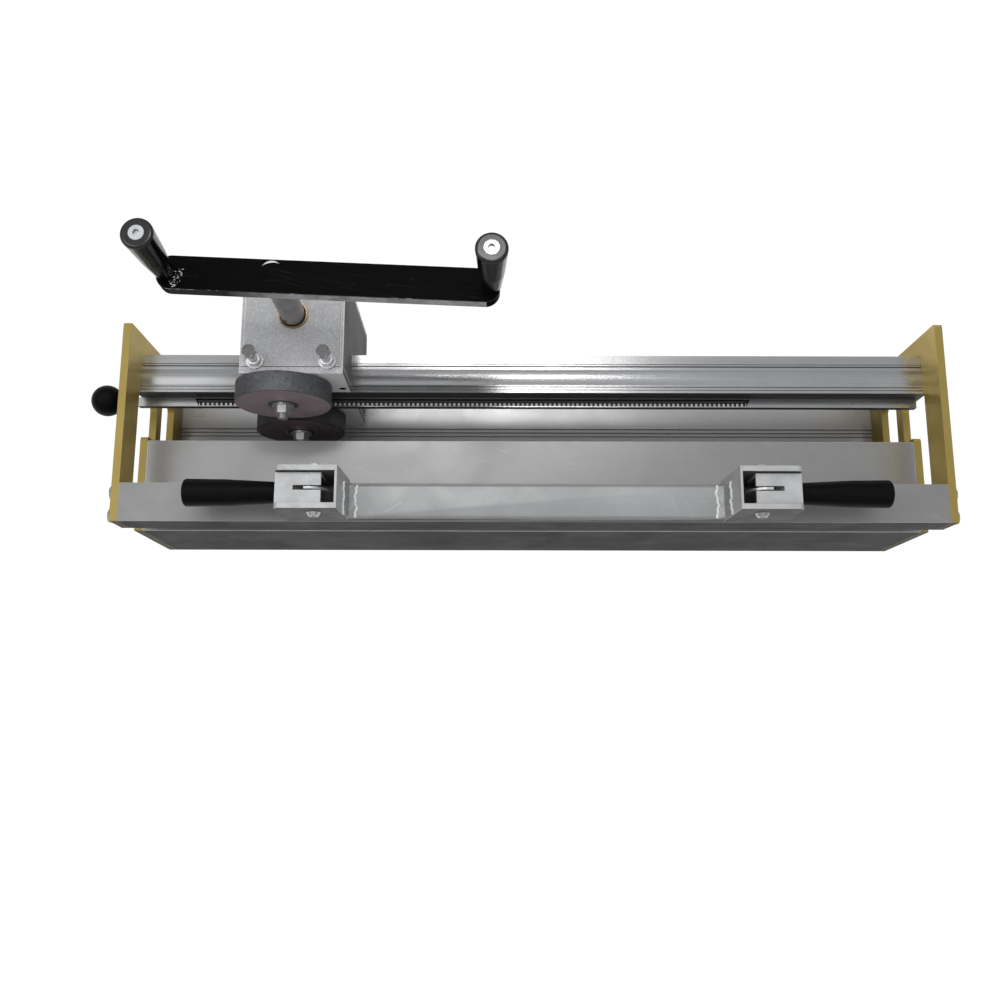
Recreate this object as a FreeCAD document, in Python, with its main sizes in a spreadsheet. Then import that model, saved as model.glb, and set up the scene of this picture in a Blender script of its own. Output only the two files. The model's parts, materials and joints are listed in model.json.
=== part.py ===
"""Belt lacing machine: a hand crank drives a pair of pinch rollers along a comb."""
import FreeCAD
import Part
import Sketcher

import math
import os
import re

# Driving dimensions in millimetres and degrees, grouped by the piece that they size.
SIZES = {
    # End plates: C-shaped, open to the front
    "frame_width": 860, "plate_thick": 8, "plate_depth": 213, "plate_height": 208,
    "arm_height": 40, "throat_over": 3, "throat_floor": 105, "throat_round": 8,
    "ledge_over": 4.5, "ledge_round": 4, "window_low": 43, "window_high": 88,
    "window_reach": 58, "window_round": 6, "plate_round": 4, "lower_setback": 4,
    # Front table, lower box and base plate between the end plates
    "table_wall": 4, "box_depth": 105, "box_height": 131, "box_wall": 5,
    "base_thick": 8, "base_groove": 2, "base_groove_step": 4.6, "base_groove_start": 37,
    "base_grooves": 3,
    # Guide beam
    "beam_gap": 44.5, "beam_depth": 42, "beam_height": 40, "beam_top": 166,
    "groove_shift": 3.5, "beam_groove": 2.4, "beam_groove_deep": 2, "beam_groove_off": 11.5,
    "beam_line": 1, "beam_line_off": 14.5, "beam_crown": 17, "beam_crown_rise": 0.8,
    "dowel_dia": 3, "dowel_deep": 6, "dowel_inset": 19.5, "dowel_setback": 7,
    # Rack and pinion
    "gear_module": 2, "pinion_teeth": 14, "rack_pitch_off": 7, "rack_width": 14,
    "pinion_width": 18, "tooth_backlash": 0.4, "tooth_root_gap": 0.5, "pressure_angle": 20,
    # Comb bar, comb and lacing pin
    "comb_bar_depth": 10, "comb_bar_thick": 8, "comb_bar_top": 146, "comb_length": 600,
    "comb_margin": 58, "comb_recess": 8, "comb_recess_deep": 5, "comb_width": 3.6,
    "comb_height": 4.2, "comb_pitch": 5, "comb_slot": 2.2, "comb_slot_deep": 2,
    "pin_dia": 3, "pin_off": 3, "pin_play": 0.05, "collar_dia": 6,
    "knob_dia": 34, "knob_reach": 35, "knob_seat": 3,
    # Carriage
    "carriage_inset": 174, "carriage_width": 106, "carriage_depth": 113, "carriage_top": 230,
    "carriage_bottom": 37, "front_thick": 7, "side_thick": 4, "deck_thick": 8,
    "slide_gap": 0.3, "pad_length": 30, "pad_inset": 8, "pad_thick": 10, "shelf_thick": 8,
    "rack_clear": 3, "beam_clear": 1.5, "front_hole": 8, "front_hole_off": 46, "front_hole_rise": 12,
    # Rollers, bearings and axles
    "roller_off": -13, "roller_dia": 100, "roller_width": 21.5, "roller_gap": 2,
    "roller_round": 1, "nip_gap": 0.3, "bearing_outer": 35, "bearing_inner": 15,
    "bearing_width": 11, "roller_bore": 26, "nut_across": 18, "nut_thick": 8,
    "washer_dia": 24, "washer_thick": 2, "axle_tip": 5, "stud_dia": 10, "axle_collar": 21,
    # Shaft, bushes and crank
    "shaft_dia": 25, "journal_dia": 16, "journal_top": 160, "bush_flange": 30.5,
    "bush_dia": 28, "bush_rise": 2.5, "run_gap": 0.05, "crank_top": 327, "crank_thick": 13,
    "crank_width": 34, "crank_long": 205, "crank_short": 104, "crank_end": 8,
    "crank_corner": 14, "crank_angle": 2.4, "shaft_hole": 4, "shaft_hole_off": 5,
    "shaft_hole_rise": 9,
    "grip_length": 82, "grip_neck": 34, "grip_small": 18, "grip_middle": 24.5, "grip_large": 30,
    "grip_gap": 0.3, "grip_round": 3, "spindle_dia": 8, "spindle_head": 14,
    "spindle_head_thick": 4, "spindle_socket": 7, "spindle_socket_deep": 2.5,
    # Adjusting screws on the carriage
    "adjuster_dia": 8, "adjuster_head": 15, "adjuster_head_thick": 5.5, "adjuster_rise": 26,
    "adjuster_spread": 37, "adjuster_setback": 13, "lock_nut_thick": 6.5, "adjuster_washer": 18,
    # Belt clamp on the front table
    "clamp_gap": 0.3, "clamp_setback": 21.5, "clamp_shift": 2, "pivot_x": 217.5, "pivot_height": 45,
    "bracket_out": 253, "bracket_in": 189, "bracket_lean": 3.5, "bracket_height": 68,
    "bracket_width": 42.5, "cheek_thick": 5.5, "end_wall": 2.5, "bracket_round": 6,
    "bar_width": 34, "bar_height": 18, "bar_wall": 2.5, "pivot_dia": 8, "pivot_nut": 14.5,
    "pivot_nut_thick": 5, "pivot_head": 14, "pivot_head_top": 10, "pivot_head_thick": 3.5,
    "pivot_socket": 6, "pivot_socket_deep": 2.5,
    "head_width": 30, "head_top": 17.5, "head_drop": 16, "head_in": 9, "head_wall": 3,
    "head_end_wall": 4.5, "head_slot": 4.4, "head_slot_reach": 18, "shank_dia": 12,
    "shank_length": 30, "lever_drop": 8, "lever_length": 90.5, "lever_neck": 50,
    "lever_small": 21.5, "lever_middle": 26.5, "lever_large": 27.5, "lever_round": 3,
    "strap_thick": 3, "strap_in": 15, "strap_out": 8, "strap_round": 18, "strap_cap": 6,
    "lift": 12, "foot_width": 26, "foot_length": 24, "foot_thick": 5,
    # Screws that hold the frame together
    "table_bolt_off": 12, "table_bolt_drop": 16, "base_bolt_inset": 32,
    "bolt_dia": 8, "bolt_head": 15, "bolt_head_thick": 5.5, "bolt_grip": 20, "fit_gap": 0.05,
    "boss_wall": 3, "base_bolt_dia": 4, "base_bolt_head": 8, "base_bolt_head_thick": 2.5,
    "rack_screw_dia": 4, "rack_screw_head": 7, "rack_screws": 5,
    "head_turned": 0.87, "head_slope": 1.73,
}

# Places worked out from the driving dimensions.
INNER = "(frame_width/2-plate_thick)"
FRONT = "(-plate_depth/2)"
BACK = "(plate_depth/2)"
LOWER_FRONT = f"({FRONT}+lower_setback)"
BOX_BACK = f"({FRONT}+box_depth)"
LEDGE = f"({BOX_BACK}+ledge_over)"
BEAM_FRONT = f"({BOX_BACK}+beam_gap)"
THROAT = f"({BEAM_FRONT}+throat_over)"
BEAM_BACK = f"({BEAM_FRONT}+beam_depth)"
BEAM_LOW = "(beam_top-beam_height)"
BEAM_MID_Y = f"({BEAM_FRONT}+beam_depth/2)"
BEAM_MID_Z = "(beam_top-beam_height/2)"
GROOVE_MID = f"({BEAM_MID_Y}-groove_shift)"
RACK_Z = f"({BEAM_LOW}+rack_width/2)"
PITCH_LINE = f"({BEAM_BACK}+rack_pitch_off)"
SHAFT_Y = f"({PITCH_LINE}+gear_module*pinion_teeth/2)"
COMB_START = f"(-{INNER}+comb_margin)"
COMB_END = f"({COMB_START}+comb_length)"
COMB_BAR_FRONT = f"({BEAM_FRONT}-comb_bar_depth)"
COMB_BAR_LOW = "(comb_bar_top-comb_bar_thick)"
RECESS_FLOOR = "(comb_bar_top-comb_recess_deep)"
PIN_Y = f"({BEAM_FRONT}-pin_off)"
PIN_Z = f"({RECESS_FLOOR}+pin_dia/2+pin_play)"
SIDE_IN = "(carriage_width/2-side_thick)"
CARRIAGE_X = f"(-{INNER}+carriage_inset)"
ROLLER_X = f"({CARRIAGE_X}+roller_off)"
CARRIAGE_BACK = f"({BEAM_FRONT}+carriage_depth)"
ROLLER_BACK = f"({BEAM_FRONT}-roller_gap)"
ROLLER_FRONT = f"({ROLLER_BACK}-roller_width)"
UPPER_Z = "(comb_bar_top+nip_gap+roller_dia/2)"
LOWER_Z = f"({COMB_BAR_LOW}-nip_gap-roller_dia/2)"
CLAMP_Y = f"({FRONT}+clamp_setback)"
CLAMP_LOW = "(plate_height+clamp_gap)"
PIVOT_Z = "(plate_height+pivot_height)"
LEVER_Z = f"({PIVOT_Z}-lever_drop)"

AXES = {"+X": (1, 0, 0), "-X": (-1, 0, 0), "+Y": (0, 1, 0),
        "-Y": (0, -1, 0), "+Z": (0, 0, 1), "-Z": (0, 0, -1)}
SIDES = (("left", -1), ("right", 1))

doc = FreeCAD.newDocument("belt_lacer")
sheet = doc.addObject("Spreadsheet::Sheet", "Sheet")
for row, (alias, number) in enumerate(SIZES.items(), start=1):
    sheet.set(f"A{row}", alias)
    sheet.set(f"B{row}", str(number))
    sheet.setAlias(f"B{row}", alias)
doc.recompute()

nodes = {}


def bound(text):
    """Write an expression with every named size read from the sheet."""
    return re.sub(r"[a-z_]{3,}", lambda word: f"Sheet.{word.group()}", str(text))


def tie(obj, prop, text):
    """Bind one property of an object to the sheet."""
    obj.setExpression(prop, bound(text))


def size(name):
    """Read one driving dimension."""
    return float(sheet.get(name))


def place(obj, point, direction="+Z"):
    """Point an object's own Z axis along a direction and bind its place."""
    turn = FreeCAD.Rotation(FreeCAD.Vector(0, 0, 1), FreeCAD.Vector(*AXES[direction]))
    obj.Placement = FreeCAD.Placement(FreeCAD.Vector(), turn)
    for axis, text in zip("xyz", point):
        tie(obj, f"Placement.Base.{axis}", text)
    return obj


def block(name, across, along, up):
    """A box between two places on each axis."""
    box = doc.addObject("Part::Box", name)
    for prop, (low, high) in zip(("Length", "Width", "Height"), (across, along, up)):
        tie(box, prop, f"({high})-({low})")
    return place(box, [low for low, high in (across, along, up)])


def rod(name, diameter, length, point, direction="+Z"):
    """A round bar from a point along a direction."""
    bar = doc.addObject("Part::Cylinder", name)
    tie(bar, "Radius", f"({diameter})/2")
    tie(bar, "Height", length)
    return place(bar, point, direction)


def cone(name, start, end, length, point, direction="+Z"):
    """A tapered round bar from a point along a direction."""
    bar = doc.addObject("Part::Cone", name)
    tie(bar, "Radius1", f"({start})/2")
    tie(bar, "Radius2", f"({end})/2")
    tie(bar, "Height", length)
    return place(bar, point, direction)


def hexagon(name, across_corners, length, point, direction="+Z"):
    """A hexagonal bar from a point along a direction."""
    bar = doc.addObject("Part::Prism", name)
    bar.Polygon = 6
    tie(bar, "Circumradius", f"({across_corners})/2")
    tie(bar, "Height", length)
    return place(bar, point, direction)


def bolt_head(name, across_corners, length, point, direction="+Z"):
    """A hexagon whose corners are turned down at the far end, as on a bolt or a nut."""
    top = f"({across_corners})*head_turned"
    turned = cone(f"{name}_turned", f"{top}+2*head_slope*({length})", top, length, point, direction)
    head = doc.addObject("Part::Common", name)
    head.Base = hexagon(f"{name}_hex", across_corners, length, point, direction)
    head.Tool = turned
    return head


def cut(name, base, *tools):
    """Take the tools out of a base."""
    result = doc.addObject("Part::Cut", name)
    result.Base = base
    result.Tool = tools[0] if len(tools) == 1 else fuse(f"{name}_tools", *tools)
    return result


def fuse(name, *pieces):
    """Join pieces into one solid."""
    result = doc.addObject("Part::MultiFuse", name)
    result.Shapes = list(pieces)
    result.Refine = True
    return result


def group(name, *pieces):
    """Keep separate solids together in one node."""
    result = doc.addObject("Part::Compound", name)
    result.Links = list(pieces)
    return result


def node(name, obj):
    """Give a finished piece its own label."""
    obj.Label = name
    nodes[name] = obj
    return obj


def outline(name, plane, loops, length, offset, rounds=()):
    """Pad a sketch of straight loops whose corners are bound to the sheet.

    loops is a list of corner lists, and rounds lists (radius, corner numbers) of the first two loops.
    """
    body = doc.addObject("PartDesign::Body", f"{name}_body")
    sketch = body.newObject("Sketcher::SketchObject", f"{name}_sketch")
    datum = [item for item in body.Origin.OriginFeatures if item.Role == plane][0]
    sketch.AttachmentSupport = (datum, [""])
    sketch.MapMode = "FlatFace"
    tie(sketch, "AttachmentOffset.Base.z", offset)
    starts = []
    for corners in loops:
        first = sketch.GeometryCount
        for step in range(len(corners)):
            angle = 2 * math.pi * step / len(corners)
            after = 2 * math.pi * (step + 1) / len(corners)
            line = Part.LineSegment(FreeCAD.Vector(math.cos(angle), math.sin(angle), 0),
                                    FreeCAD.Vector(math.cos(after), math.sin(after), 0))
            sketch.addGeometry(line, False)
        for step in range(len(corners)):
            join = Sketcher.Constraint("Coincident", first + step, 2,
                                       first + (step + 1) % len(corners), 1)
            sketch.addConstraint(join)
        for step, corner in enumerate(corners):
            starts.append(first + step)
            for kind, text in zip(("DistanceX", "DistanceY"), corner):
                index = sketch.addConstraint(Sketcher.Constraint(kind, first + step, 1, 1.0))
                tie(sketch, f"Constraints[{index}]", text)
    doc.recompute()
    pad = body.newObject("PartDesign::Pad", f"{name}_pad")
    pad.Profile = sketch
    tie(pad, "Length", length)
    doc.recompute()
    for radius, numbers in rounds:
        tip = body.Tip
        corners = [sketch.Placement.multVec(sketch.Geometry[starts[number]].StartPoint)
                   for number in numbers]
        normal = sketch.Placement.Rotation.multVec(FreeCAD.Vector(0, 0, 1))
        names = [f"Edge{index}" for index, edge in enumerate(tip.Shape.Edges, start=1)
                 if on_corner(edge, corners, normal)]
        fillet = body.newObject("PartDesign::Fillet", f"{name}_round")
        fillet.Base = (tip, names)
        tie(fillet, "Radius", radius)
        body.Tip = fillet
        doc.recompute()
    return body


def on_corner(edge, corners, normal):
    """Tell whether an edge runs along a padding direction through one of the corners."""
    if len(edge.Vertexes) < 2:
        return False
    start, end = (vertex.Point for vertex in edge.Vertexes)
    if (end - start).cross(normal).Length > 1e-6:
        return False
    return any((start - corner).cross(normal).Length < 1e-4 for corner in corners)


def edges_at(shape, axis, value):
    """Names of the round edges of a shape at one height along an axis."""
    found = []
    for index, edge in enumerate(shape.Edges, start=1):
        spread = edge.BoundBox
        low, high = {"x": (spread.XMin, spread.XMax), "y": (spread.YMin, spread.YMax),
                     "z": (spread.ZMin, spread.ZMax)}[axis]
        if high - low < 1e-4 and abs(low - value) < 1e-4:
            found.append(index)
    return found


def soften(name, base, radius_name, picks):
    """Round the picked edges of a base by a named radius."""
    doc.recompute()
    result = doc.addObject("Part::Fillet", name)
    result.Base = base
    radius = size(radius_name)
    result.Edges = [(index, radius, radius) for index in picks]
    return result


def clamp_place(sign, reach):
    """A place along X at a reach from the middle of the clamp, on the left or the right half."""
    return f"(clamp_shift+{sign}*({reach}))"


def clamp_span(sign, low, high):
    """A stretch along X between two reaches from the middle of the clamp."""
    ends = (clamp_place(sign, low), clamp_place(sign, high))
    return ends if sign > 0 else ends[::-1]


def outwards(sign):
    """The direction that leaves the machine on a side."""
    return "+X" if sign > 0 else "-X"


def inwards(sign):
    """The direction that enters the machine on a side."""
    return outwards(-sign)


# Frame: the end plates and what spans between them.

TABLE_BOLTS = [(f"({FRONT}+arm_height/2{side}table_bolt_off)", "(plate_height-table_bolt_drop)")
               for side in "-+"]
BOX_BOLTS = [(f"({FRONT}+box_depth/2{side}box_depth/3)", "(box_height/2)") for side in "-+"]
BEAM_BOLTS = [(BEAM_MID_Y, f"({BEAM_MID_Z}{side}beam_height/4)") for side in "-+"]
BASE_BOLTS = [(f"({BOX_BACK}+base_bolt_inset)", "(base_thick/2)"),
              (f"({BACK}-base_bolt_inset)", "(base_thick/2)")]
LARGE_BOLTS = TABLE_BOLTS + BOX_BOLTS + BEAM_BOLTS


def make_end_plate(side, sign):
    """One C-shaped end plate with its throat, its window and its screw holes."""
    rim = [(LOWER_FRONT, "0"), (BACK, "0"), (BACK, "plate_height"), (FRONT, "plate_height"),
           (FRONT, "plate_height-arm_height"), (THROAT, "plate_height-arm_height"),
           (THROAT, "throat_floor"), (LEDGE, "throat_floor"), (LEDGE, "box_height"),
           (LOWER_FRONT, "box_height")]
    window = [(LEDGE, "window_low"), (f"{LEDGE}+window_reach", "window_low"),
              (f"{LEDGE}+window_reach", "window_high"), (LEDGE, "window_high")]
    start = "frame_width/2-plate_thick" if sign > 0 else "-frame_width/2"
    plate = outline(f"plate_{side}", "YZ_Plane", [rim, window], "plate_thick", start,
                    [("throat_round", [5, 6]), ("ledge_round", [7, 8]), ("plate_round", [2]),
                     ("window_round", [10, 11, 12, 13])])
    face = f"{sign}*frame_width/2"
    holes = [rod(f"plate_{side}_hole", "bolt_dia+2*fit_gap", "plate_thick",
                 (face, along, up), inwards(sign)) for along, up in LARGE_BOLTS]
    holes += [rod(f"plate_{side}_small_hole", "base_bolt_dia+2*fit_gap", "plate_thick",
                  (face, along, up), inwards(sign)) for along, up in BASE_BOLTS]
    node(f"end_plate_{side}", cut(f"end_plate_{side}", plate, *holes))


def make_plate_bolts(side, sign):
    """The hexagon bolts through one end plate."""
    face = f"{sign}*frame_width/2"
    bolts = []
    for along, up in LARGE_BOLTS:
        spot = (face, along, up)
        head = bolt_head(f"bolt_head_{side}", "bolt_head", "bolt_head_thick", spot, outwards(sign))
        shank = rod(f"bolt_shank_{side}", "bolt_dia", "plate_thick+bolt_grip", spot, inwards(sign))
        bolts.append(fuse(f"bolt_{side}", head, shank))
    for along, up in BASE_BOLTS:
        spot = (face, along, up)
        head = rod(f"small_head_{side}", "base_bolt_head", "base_bolt_head_thick", spot, outwards(sign))
        shank = rod(f"small_shank_{side}", "base_bolt_dia", "plate_thick+bolt_grip", spot, inwards(sign))
        bolts.append(fuse(f"small_bolt_{side}", head, shank))
    node(f"end_plate_bolts_{side}", group(f"end_plate_bolts_{side}", *bolts))


def tube_with_bosses(name, along, up, wall, bolts):
    """A rectangular tube between the end plates, with a screw boss for each bolt."""
    reach = (f"-{INNER}", INNER)
    shell = cut(f"{name}_shell", block(f"{name}_outer", reach, along, up),
                block(f"{name}_inner", reach, (f"{along[0]}+{wall}", f"{along[1]}-{wall}"),
                      (f"{up[0]}+{wall}", f"{up[1]}-{wall}")))
    lanes = [rod(f"{name}_boss", "bolt_dia+2*boss_wall", f"2*{INNER}", (f"-{INNER}", *spot), "+X")
             for spot in bolts]
    webs = [block(f"{name}_web", reach, (f"{spot[0]}-boss_wall/2", f"{spot[0]}+boss_wall/2"),
                  (f"{up[0]}+{wall}/2", f"{up[1]}-{wall}/2")) for spot in bolts]
    bores = [rod(f"{name}_bore", "bolt_dia+2*fit_gap", f"2*{INNER}", (f"-{INNER}", *spot), "+X")
             for spot in bolts]
    return node(name, cut(name, fuse(f"{name}_body", shell, *lanes, *webs), *bores))


def make_base_plate():
    """The grooved plate behind the lower box."""
    reach = (f"-{INNER}", INNER)
    plate = block("base_blank", reach, (BOX_BACK, BACK), ("0", "base_thick"))
    grooves = []
    for count in range(int(size("base_grooves"))):
        near = f"({BOX_BACK}+base_groove_start+{count}*base_groove_step)"
        grooves.append(block("base_slot", reach, (near, f"{near}+base_groove"),
                             ("base_thick-base_groove", "base_thick")))
    bores = [rod("base_bore", "base_bolt_dia+2*fit_gap", "bolt_grip", (f"{sign}*{INNER}", *spot),
                 inwards(sign)) for side, sign in SIDES for spot in BASE_BOLTS]
    node("base_plate", cut("base_plate", plate, *grooves, *bores))


def make_guide_beam():
    """The ribbed extrusion that the carriage runs on."""
    reach = (f"-{INNER}", INNER)
    solid = block("beam_blank", reach, (BEAM_FRONT, BEAM_BACK), (BEAM_LOW, "beam_top"))
    tools = []
    for side in "-+":
        groove = (f"{GROOVE_MID}{side}beam_groove_off-beam_groove/2",
                  f"{GROOVE_MID}{side}beam_groove_off+beam_groove/2")
        line = (f"{GROOVE_MID}{side}beam_line_off-beam_line/2",
                f"{GROOVE_MID}{side}beam_line_off+beam_line/2")
        tools += [block("beam_groove_cut", reach, groove, ("beam_top-beam_groove_deep", "beam_top")),
                  block("beam_line_cut", reach, line, ("beam_top-beam_groove_deep/2", "beam_top")),
                  block("beam_foot_cut", reach, groove, (BEAM_LOW, f"{BEAM_LOW}+beam_groove_deep"))]
    shoulder = "beam_groove_off-beam_crown/2"
    for near in (f"({GROOVE_MID}-beam_groove_off)", f"({GROOVE_MID}+beam_crown/2)"):
        tools.append(block("beam_crown_cut", reach, (near, f"{near}+{shoulder}"),
                           ("beam_top-beam_crown_rise", "beam_top")))
    for along, up in BEAM_BOLTS:
        tools.append(rod("beam_bore", "bolt_dia+2*fit_gap", f"2*{INNER}", (f"-{INNER}", along, up), "+X"))
    for side, sign in SIDES:
        spot = (f"{sign}*({INNER}-dowel_inset)", f"{BEAM_BACK}-dowel_setback", "beam_top")
        tools.append(rod("beam_dowel", "dowel_dia", "dowel_deep", spot, "-Z"))
    node("guide_beam", cut("guide_beam", solid, *tools))


# Rack and pinion.

def rack_outline():
    """Corners of the rack seen from above, with one tooth for each pitch."""
    module, angle = size("gear_module"), math.radians(size("pressure_angle"))
    pitch = math.pi * module
    half_length = size("frame_width") / 2 - size("plate_thick")
    depth = module + size("tooth_root_gap")
    half = pitch / 4 - size("tooth_backlash") / 2
    count = int(half_length / pitch - 0.5)
    corners = [(-half_length, -size("rack_pitch_off")), (half_length, -size("rack_pitch_off")),
               (half_length, -depth)]
    for tooth in range(count, -count - 1, -1):
        middle = tooth * pitch
        root, tip = half + depth * math.tan(angle), half - module * math.tan(angle)
        corners += [(middle + root, -depth), (middle + tip, module),
                    (middle - tip, module), (middle - root, -depth)]
    return corners + [(-half_length, -depth)]


def pinion_outline():
    """Corners of the pinion, with involute flanks, one tooth gap facing the rack's tooth."""
    module, angle = size("gear_module"), math.radians(size("pressure_angle"))
    teeth = int(size("pinion_teeth"))
    pitch_radius = module * teeth / 2
    base = pitch_radius * math.cos(angle)
    tip, root = pitch_radius + module, pitch_radius - module - size("tooth_root_gap")
    spread = math.tan(angle) - angle
    half = math.pi / (2 * teeth) - size("tooth_backlash") / (2 * pitch_radius)
    flank = [max(base, root) + (tip - max(base, root)) * step / 4 for step in range(5)]
    corners = []
    phase = -math.pi / 2 + math.pi / teeth + gear_phase()
    for tooth in range(teeth):
        middle = phase + 2 * math.pi * tooth / teeth
        side = []
        for radius in flank:
            roll = math.acos(min(1.0, base / radius))
            side.append((radius, half + spread - (math.tan(roll) - roll)))
        side = [(root, side[0][1])] + side
        corners += [(radius, middle - turn) for radius, turn in side]
        corners += [(radius, middle + turn) for radius, turn in reversed(side)]
    return [(radius * math.cos(turn), radius * math.sin(turn)) for radius, turn in corners]


def gear_phase():
    """Turn of the pinion that brings a gap onto the nearest rack tooth at rest."""
    pitch = math.pi * size("gear_module")
    offset = (size("frame_width") / 2 - size("plate_thick") - size("carriage_inset")) % pitch
    return offset / (size("gear_module") * size("pinion_teeth") / 2)


def prism_of(corners, height):
    """A straight prism on a closed outline."""
    points = [FreeCAD.Vector(across, along, 0) for across, along in corners]
    face = Part.Face(Part.makePolygon(points + points[:1]))
    return face.extrude(FreeCAD.Vector(0, 0, height))


def make_rack():
    """The toothed rack on the back of the beam, and its screws."""
    teeth = doc.addObject("Part::Feature", "rack_teeth")
    teeth.Shape = prism_of(rack_outline(), size("rack_width"))
    place(teeth, ("0", PITCH_LINE, f"{RACK_Z}-rack_width/2"))
    spots = [f"({INNER}*{2 * count + 1}/rack_screws-{INNER})" for count in range(int(size("rack_screws")))]
    floor = f"({BEAM_BACK}+(rack_pitch_off-gear_module-tooth_root_gap)/2)"
    holes = []
    screws = []
    for spot in spots:
        mouth = (spot, f"{PITCH_LINE}+gear_module", RACK_Z)
        seat = (spot, floor, RACK_Z)
        holes.append(rod("rack_seat", "rack_screw_head+2*fit_gap",
                         f"{PITCH_LINE}+gear_module-{floor}", mouth, "-Y"))
        holes.append(rod("rack_hole", "rack_screw_dia+2*fit_gap", "rack_pitch_off+gear_module", mouth, "-Y"))
        head = rod("rack_screw_top", "rack_screw_head", f"({floor}-{BEAM_BACK})/2", seat, "+Y")
        shank = rod("rack_screw_shank", "rack_screw_dia", f"{floor}-{BEAM_BACK}", seat, "-Y")
        screws.append(fuse("rack_screw", head, shank))
    node("rack", cut("rack", teeth, *holes))
    node("rack_screws", group("rack_screw_set", *screws))


# Comb bar, comb and lacing pin.

def make_comb():
    """The bar in front of the beam, and the slotted comb in its recess."""
    along = (COMB_BAR_FRONT, BEAM_FRONT)
    bar = block("comb_bar_blank", ("-frame_width/2", INNER), along, (COMB_BAR_LOW, "comb_bar_top"))
    near = f"({COMB_BAR_FRONT}+(comb_bar_depth-comb_recess)/2)"
    far = f"({near}+comb_recess)"
    slant = [(f"{COMB_START}-comb_recess/2", far), (f"{COMB_START}", near), (f"{COMB_END}", near),
             (f"{COMB_END}+comb_recess/2", far)]
    recess = outline("comb_recess", "XY_Plane", [slant], "comb_recess_deep", RECESS_FLOOR)
    bore = rod("pin_bore", "pin_dia+2*pin_play", "2*comb_margin", ("-frame_width/2", PIN_Y, PIN_Z), "+X")
    node("comb_bar", cut("comb_bar", bar, recess, bore))
    strip = block("comb_blank", (COMB_START, COMB_END), (near, f"{near}+comb_width"),
                  (RECESS_FLOOR, f"{RECESS_FLOOR}+comb_height"))
    slots = []
    for count in range(int(size("comb_length") / size("comb_pitch"))):
        low = f"({COMB_START}+comb_pitch*{count + 0.5}-comb_slot/2)"
        slots.append(block("comb_gap", (low, f"{low}+comb_slot"), (near, f"{near}+comb_width"),
                           (f"{RECESS_FLOOR}+comb_height-comb_slot_deep", f"{RECESS_FLOOR}+comb_height")))
    node("comb", cut("comb", strip, group("comb_gaps", *slots)))


def make_pin():
    """The lacing pin, with its collar and ball knob."""
    stop = "(-frame_width/2-2*pin_play)"
    middle = "(-frame_width/2-knob_reach)"
    neck = f"({middle}+knob_dia/2-knob_seat)"
    wire = rod("pin_wire", "pin_dia", f"{COMB_END}-pin_dia-{neck}", (neck, PIN_Y, PIN_Z), "+X")
    collar = rod("pin_collar", "collar_dia", f"{stop}-{neck}", (stop, PIN_Y, PIN_Z), "-X")
    node("lacing_pin", fuse("lacing_pin", wire, collar))
    ball = doc.addObject("Part::Sphere", "knob_ball")
    tie(ball, "Radius", "knob_dia/2")
    place(ball, (middle, PIN_Y, PIN_Z), "+X")
    flat = block("knob_flat", (neck, f"{neck}+knob_dia"), (f"{PIN_Y}-knob_dia", f"{PIN_Y}+knob_dia"),
                 (f"{PIN_Z}-knob_dia", f"{PIN_Z}+knob_dia"))
    node("pin_knob", cut("pin_knob", ball, flat))


# Carriage.

def carriage_span(low, high):
    """A stretch along X measured from the middle of the carriage."""
    return (f"{CARRIAGE_X}+({low})", f"{CARRIAGE_X}+({high})")


INSIDE = carriage_span(f"-{SIDE_IN}", SIDE_IN)
WHOLE = carriage_span("-carriage_width/2", "carriage_width/2")
FRONT_PLATE = (BEAM_FRONT, f"{BEAM_FRONT}+front_thick")
UPPER_LOW = "(beam_top+slide_gap)"
LOWER_HIGH = f"({BEAM_LOW}-slide_gap)"
INSIDE_DEPTH = (f"{BEAM_FRONT}+front_thick", f"{CARRIAGE_BACK}-side_thick")


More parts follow.
